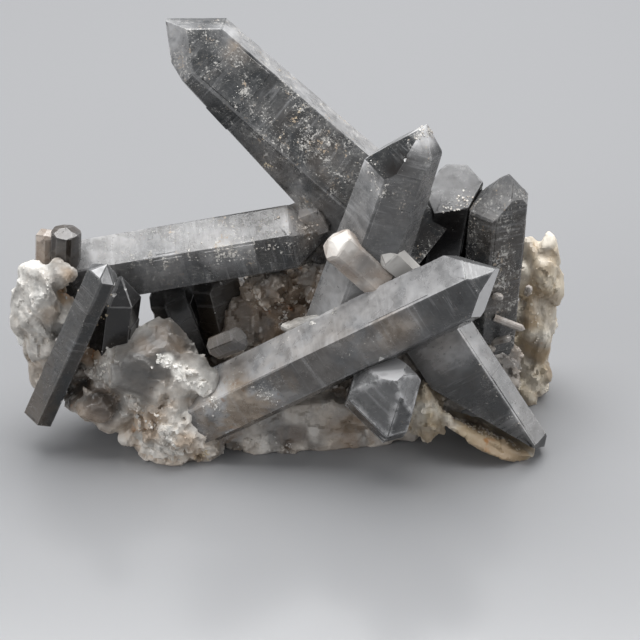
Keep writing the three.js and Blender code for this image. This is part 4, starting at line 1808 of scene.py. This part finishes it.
FINISHES: dict[Stuff, QuartzFinish] = {
    Stuff.SMOKY: QuartzFinish(
        dark=(0.027, 0.031, 0.034), milky=(0.74, 0.74, 0.75), stained=(0.11, 0.075, 0.045),
        tinted=(0.52, 0.41, 0.30), rusty=(0.34, 0.16, 0.06), rough=(0.1, 0.5), relief=0.05, edge_wear_glint=0.6,
        clear=0.35, soak=170.0, kept=(0.29, 0.30, 0.30), lined=1.0,
    ),
    Stuff.PALE: QuartzFinish(
        dark=(0.16, 0.145, 0.135), milky=(0.70, 0.68, 0.65), stained=(0.32, 0.22, 0.15),
        tinted=(0.50, 0.38, 0.29), rusty=(0.45, 0.25, 0.12), rough=(0.15, 0.5), relief=0.06, edge_wear_glint=0.6,
        clear=0.15, soak=60.0, kept=(0.6, 0.5, 0.42), lined=0.4,
    ),
    Stuff.MILKY: QuartzFinish(
        dark=(0.085, 0.083, 0.08), milky=(0.68, 0.665, 0.63), stained=(0.24, 0.17, 0.11),
        tinted=(0.56, 0.44, 0.33), rusty=(0.42, 0.19, 0.06), rough=(0.34, 0.7), relief=0.2, edge_wear_glint=0.6,
        grain=420.0,
    ),
    Stuff.STAINED: QuartzFinish(
        dark=(0.06, 0.057, 0.055), milky=(0.66, 0.63, 0.59), stained=(0.20, 0.14, 0.095),
        tinted=(0.46, 0.37, 0.28), rusty=(0.34, 0.13, 0.04), rough=(0.14, 0.55), relief=0.18, edge_wear_glint=0.6,
        grain=260.0,
    ),
    Stuff.HONEY: QuartzFinish(
        dark=(0.17, 0.135, 0.10), milky=(0.76, 0.71, 0.62), stained=(0.30, 0.20, 0.11),
        tinted=(0.52, 0.41, 0.25), rusty=(0.36, 0.17, 0.05), rough=(0.3, 0.65), relief=0.14, edge_wear_glint=0.35,
        clear=0.15, soak=90.0, kept=(0.6, 0.45, 0.28), grain=300.0,
    ),
    Stuff.CHIPPED: QuartzFinish(
        dark=(0.20, 0.20, 0.20), milky=(0.72, 0.72, 0.71), stained=(0.4, 0.32, 0.24),
        tinted=(0.5, 0.42, 0.33), rusty=(0.4, 0.22, 0.1), rough=(0.2, 0.6), relief=0.15, edge_wear_glint=0.3,
        clear=0.3, soak=90.0, kept=(0.5, 0.5, 0.5), grain=600.0,
    ),
}

MATERIALS: dict[Stuff, bpy.types.Material] = {}


def make_materials() -> None:
    """Builds the shared groups and every kind of quartz."""
    GROUPS["haze"] = haze_group()
    GROUPS["lines"] = growth_line_group()
    GROUPS["specks"] = speck_group()
    for stuff, finish in FINISHES.items():
        MATERIALS[stuff] = finish.material(stuff.value)


# ---------------------------------------------------------------------------------------------
# The cluster
# ---------------------------------------------------------------------------------------------


CHIP_LENGTH = (0.5, 2.2)
CHIP_WIDTH = (0.4, 0.9)
CHIP_DEPTH = (0.3, 0.7)
CHIP_LIFT = 0.55  # how far a chip's middle lies outside the edge, as a share of its depth
CHIP_FROST = 0.5
MM_PER_CHIP = 9
FEWEST_CHIPS = 2
MOST_CORNERS = 4

# Metres, as in the part's frame.
TRIM_SNAP = 1e-7
TRIM_INSET = 2e-5


@dataclass
class Cluster:
    """The whole specimen, built as a few joined bodies.

    seed picks the crystals' wear and chips, the crumbs and the noise of the relief. The lumps have
    seeds of their own.
    """

    seed: int = 5

    def build(self) -> list[bpy.types.Object]:
        """Builds the crystals and the base.

        Returns:
            The visible pieces.
        """
        noise.seed_set(self.seed)
        pieces = [self.crystals(), self.base()]
        for piece in pieces:
            self.trim(piece)
        pieces.append(self.crumbs(pieces))
        self.trim(pieces[-1])
        for piece in pieces:
            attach(piece, BODY)
            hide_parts(CAD_NODE)
            log.info("%s: %d faces", piece.name, len(piece.data.polygons))
        return pieces

    def crystals(self) -> bpy.types.Object:
        """Joins all crystals and needles, with chips broken out of their edges.

        Returns:
            The crystals as one object.
        """
        bodies: list[bpy.types.Object] = []
        chips: list[bpy.types.Object] = []
        for number, (name, crystal) in enumerate(CRYSTALS.items()):
            rng = Random(self.seed * 1000 + number)
            bodies.append(crystal.body(name, rng))
            for _ in range(crystal.plates):
                bodies.append(crystal.growth_plate(f"{name}_plate", rng))
            if crystal.stuff is Stuff.SMOKY:
                count = max(FEWEST_CHIPS, round(crystal.length / MM_PER_CHIP))
                chips += [self.chip(rng, *spot) for spot in crystal.edge_spots(rng, count)]
        for number, (root, tip) in enumerate(NEEDLES):
            needle = Crystal(
                root, tip, 0.0, (NEEDLE_SIDE,), stuff=Stuff.PALE,
                tone=Tone(milk=(0.6, 0.4), stain=(0.6, 0.2)), wear=(0.05, 0.15), rim=0.3,
            )
            bodies.append(needle.body(f"needle_{number}", Random(number)))
        return join("crystals", bodies, chips)

    def chip(self, rng: Random, at: Vector, out: Vector) -> bpy.types.Object:
        """A small angular body that takes a chip out of an edge.

        Args:
            rng: Source of its shape.
            at: Place on the edge, in growth millimetres.
            out: Direction out of the crystal.

        Returns:
            The body to take out.
        """
        long = rng.uniform(*CHIP_LENGTH)
        deep = long * rng.uniform(*CHIP_DEPTH)
        maker = Lump((0, 0, 0), (1, 1, 1), 1, 0, Stuff.CHIPPED, (0.3, 0.9), (0.0, 0.3), rim=0.2)
        turn = UP.rotation_difference(out).to_matrix().to_4x4()
        place = Matrix.Translation(at + out * deep * CHIP_LIFT) @ turn
        place = place @ Matrix.Rotation(rng.uniform(0, math.tau), 4, "Z")
        size = (long, long * rng.uniform(*CHIP_WIDTH), deep)
        return maker.block(size, place, rng.uniform(1, 400), "chip", CHIP_FROST)

    def base(self) -> bpy.types.Object:
        """Joins the blocks of the base, meshes them evenly and gives each skin its relief.

        Returns:
            The base as one object.
        """
        bodies: list[bpy.types.Object] = []
        for lump in LUMPS.values():
            bodies += lump.bodies()
        blocks = join("blocks", bodies, [])
        modifier = blocks.modifiers.new("even", "REMESH")
        modifier.mode = "VOXEL"
        modifier.voxel_size = BASE_VOXEL * MM
        mesh = evaluated_mesh(blocks, "broken_base")
        SkinTransfer(blocks.data, mesh).run()
        discard(blocks)
        return show("broken_base", mesh)

    def crumbs(self, grounds: list[bpy.types.Object]) -> bpy.types.Object:
        """Small broken bits that stick to the crystals and the base.

        Args:
            grounds: The pieces they lie on.

        Returns:
            The crumbs as one object.
        """
        tree = surface_tree([ground.data for ground in grounds])
        mesh = bpy.data.meshes.new("crumbs")
        whole = bmesh.new()
        for number, sprinkle in enumerate(SPRINKLES):
            batch = sprinkle.bits(tree, Random(self.seed * 77 + number))
            batch.to_mesh(mesh)
            batch.free()
            whole.from_mesh(mesh)
        whole.to_mesh(mesh)
        whole.free()
        add_materials(mesh)
        return show("crumbs", mesh)

    def trim(self, piece: bpy.types.Object) -> None:
        """Cuts a piece off flat at the table and keeps it inside the part's box.

        Args:
            piece: The piece to trim.
        """
        low, high = (Vector(corner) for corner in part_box(CAD_NODE))
        bm = bmesh.new()
        bm.from_mesh(piece.data)
        for axis in range(3):
            for corner, way in ((low, -1.0), (high, 1.0)):
                normal = Vector((0.0, 0.0, 0.0))
                normal[axis] = way
                parts = bm.verts[:] + bm.edges[:] + bm.faces[:]
                at = corner - normal * TRIM_INSET
                cut = bmesh.ops.bisect_plane(
                    bm, geom=parts, dist=TRIM_SNAP, plane_co=at, plane_no=normal, clear_outer=True
                )
                edges = [e for e in cut["geom_cut"] if isinstance(e, bmesh.types.BMEdge) and e.is_boundary]
                if edges:
                    bmesh.ops.holes_fill(bm, edges=edges)
        bmesh.ops.triangulate(bm, faces=[f for f in bm.faces if len(f.verts) > MOST_CORNERS])
        bm.to_mesh(piece.data)
        bm.free()


# ---------------------------------------------------------------------------------------------
# Floor, light and camera
# ---------------------------------------------------------------------------------------------


@dataclass(frozen=True)
class Lamp:
    """A soft rectangular light.

    at is where it hangs and towards what it faces. size is its width and height, and power is in watts.
    """

    name: str
    at: Triple
    towards: Triple
    size: Pair
    power: float

    def build(self) -> None:
        """Hangs it."""
        data = bpy.data.lights.new(self.name, "AREA")
        data.shape = "RECTANGLE"
        data.size, data.size_y = self.size
        data.energy = self.power
        lamp = show(self.name, data)
        lamp.location = self.at
        lamp.rotation_euler = (Vector(self.towards) - Vector(self.at)).to_track_quat("-Z", "Y").to_euler()


LAMPS = [
    Lamp("overhead", (0.0, 0.32, 0.95), (0.0, 0.0, 0.05), (1.0, 0.9), 22.5),
    Lamp("low_front", (0.1, -1.3, 0.16), (0.0, 0.0, 0.02), (1.6, 0.25), 1.9),
    Lamp("left", (-1.1, -0.5, 0.55), (0.0, 0.0, 0.05), (0.7, 0.9), 7.0),
    Lamp("right", (1.1, -0.2, 0.6), (0.0, 0.0, 0.05), (0.7, 0.9), 6.0),
]


@dataclass(frozen=True)
class Studio:
    """The pale table, the soft lights, the room's even light and the camera."""

    target: Triple = (0.0098, -0.0271, 0.0513)
    elevation: float = 35.0
    distance: float = 0.940
    lens: float = 161.8
    floor_half: float = 4.0
    floor_rough: float = 0.2
    room_colour: Triple = (0.93, 0.95, 1.0)
    room_strength: float = 0.21

    def build(self) -> None:
        """Sets the studio up."""
        self.floor()
        for lamp in LAMPS:
            lamp.build()
        self.room()
        self.camera()

    def room(self) -> None:
        """The even light that comes from all round."""
        world = bpy.data.worlds.new("room")
        world.use_nodes = True
        background = world.node_tree.nodes["Background"]
        background.inputs["Color"].default_value = (*self.room_colour, 1.0)
        background.inputs["Strength"].default_value = self.room_strength
        bpy.context.scene.world = world

    def floor(self) -> None:
        """A pale, slightly glossy table."""
        bm = bmesh.new()
        bmesh.ops.create_grid(bm, x_segments=1, y_segments=1, size=self.floor_half)
        mesh = bpy.data.meshes.new("table")
        bm.to_mesh(mesh)
        bm.free()
        table = show("table", mesh)
        material = bpy.data.materials.new("pale_table")
        material.use_nodes = True
        n = Nodes(material.node_tree)
        shader = material.node_tree.nodes["Principled BSDF"]
        tone = n.noise(n.add("TexCoord").outputs["Object"], 3.0, 2.0)
        n.feed(shader.inputs["Base Color"], n.blend(tone, (0.245, 0.248, 0.255), (0.26, 0.263, 0.27)))
        n.feed(shader.inputs["Roughness"], self.floor_rough)
        mesh.materials.append(material)

    def camera(self) -> None:
        """The camera, at its viewing angle."""
        data = bpy.data.cameras.new("camera")
        data.lens = self.lens
        data.sensor_width = 36.0
        data.clip_start = 0.05
        data.clip_end = 20.0
        eye = show("camera", data)
        slope = math.radians(self.elevation)
        back = Vector((0.0, -math.cos(slope), math.sin(slope)))
        eye.location = Vector(self.target) + back * self.distance
        eye.rotation_euler = (-back).to_track_quat("-Z", "Y").to_euler()
        bpy.context.scene.camera = eye


def main() -> None:
    """Builds everything and notes the sizes."""
    logging.basicConfig(level=logging.INFO, format="%(message)s")
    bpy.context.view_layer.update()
    bpy.context.scene.view_settings.view_transform = "Standard"
    make_materials()
    Cluster().build()
    Studio().build()


if __name__ == "__main__":
    main()
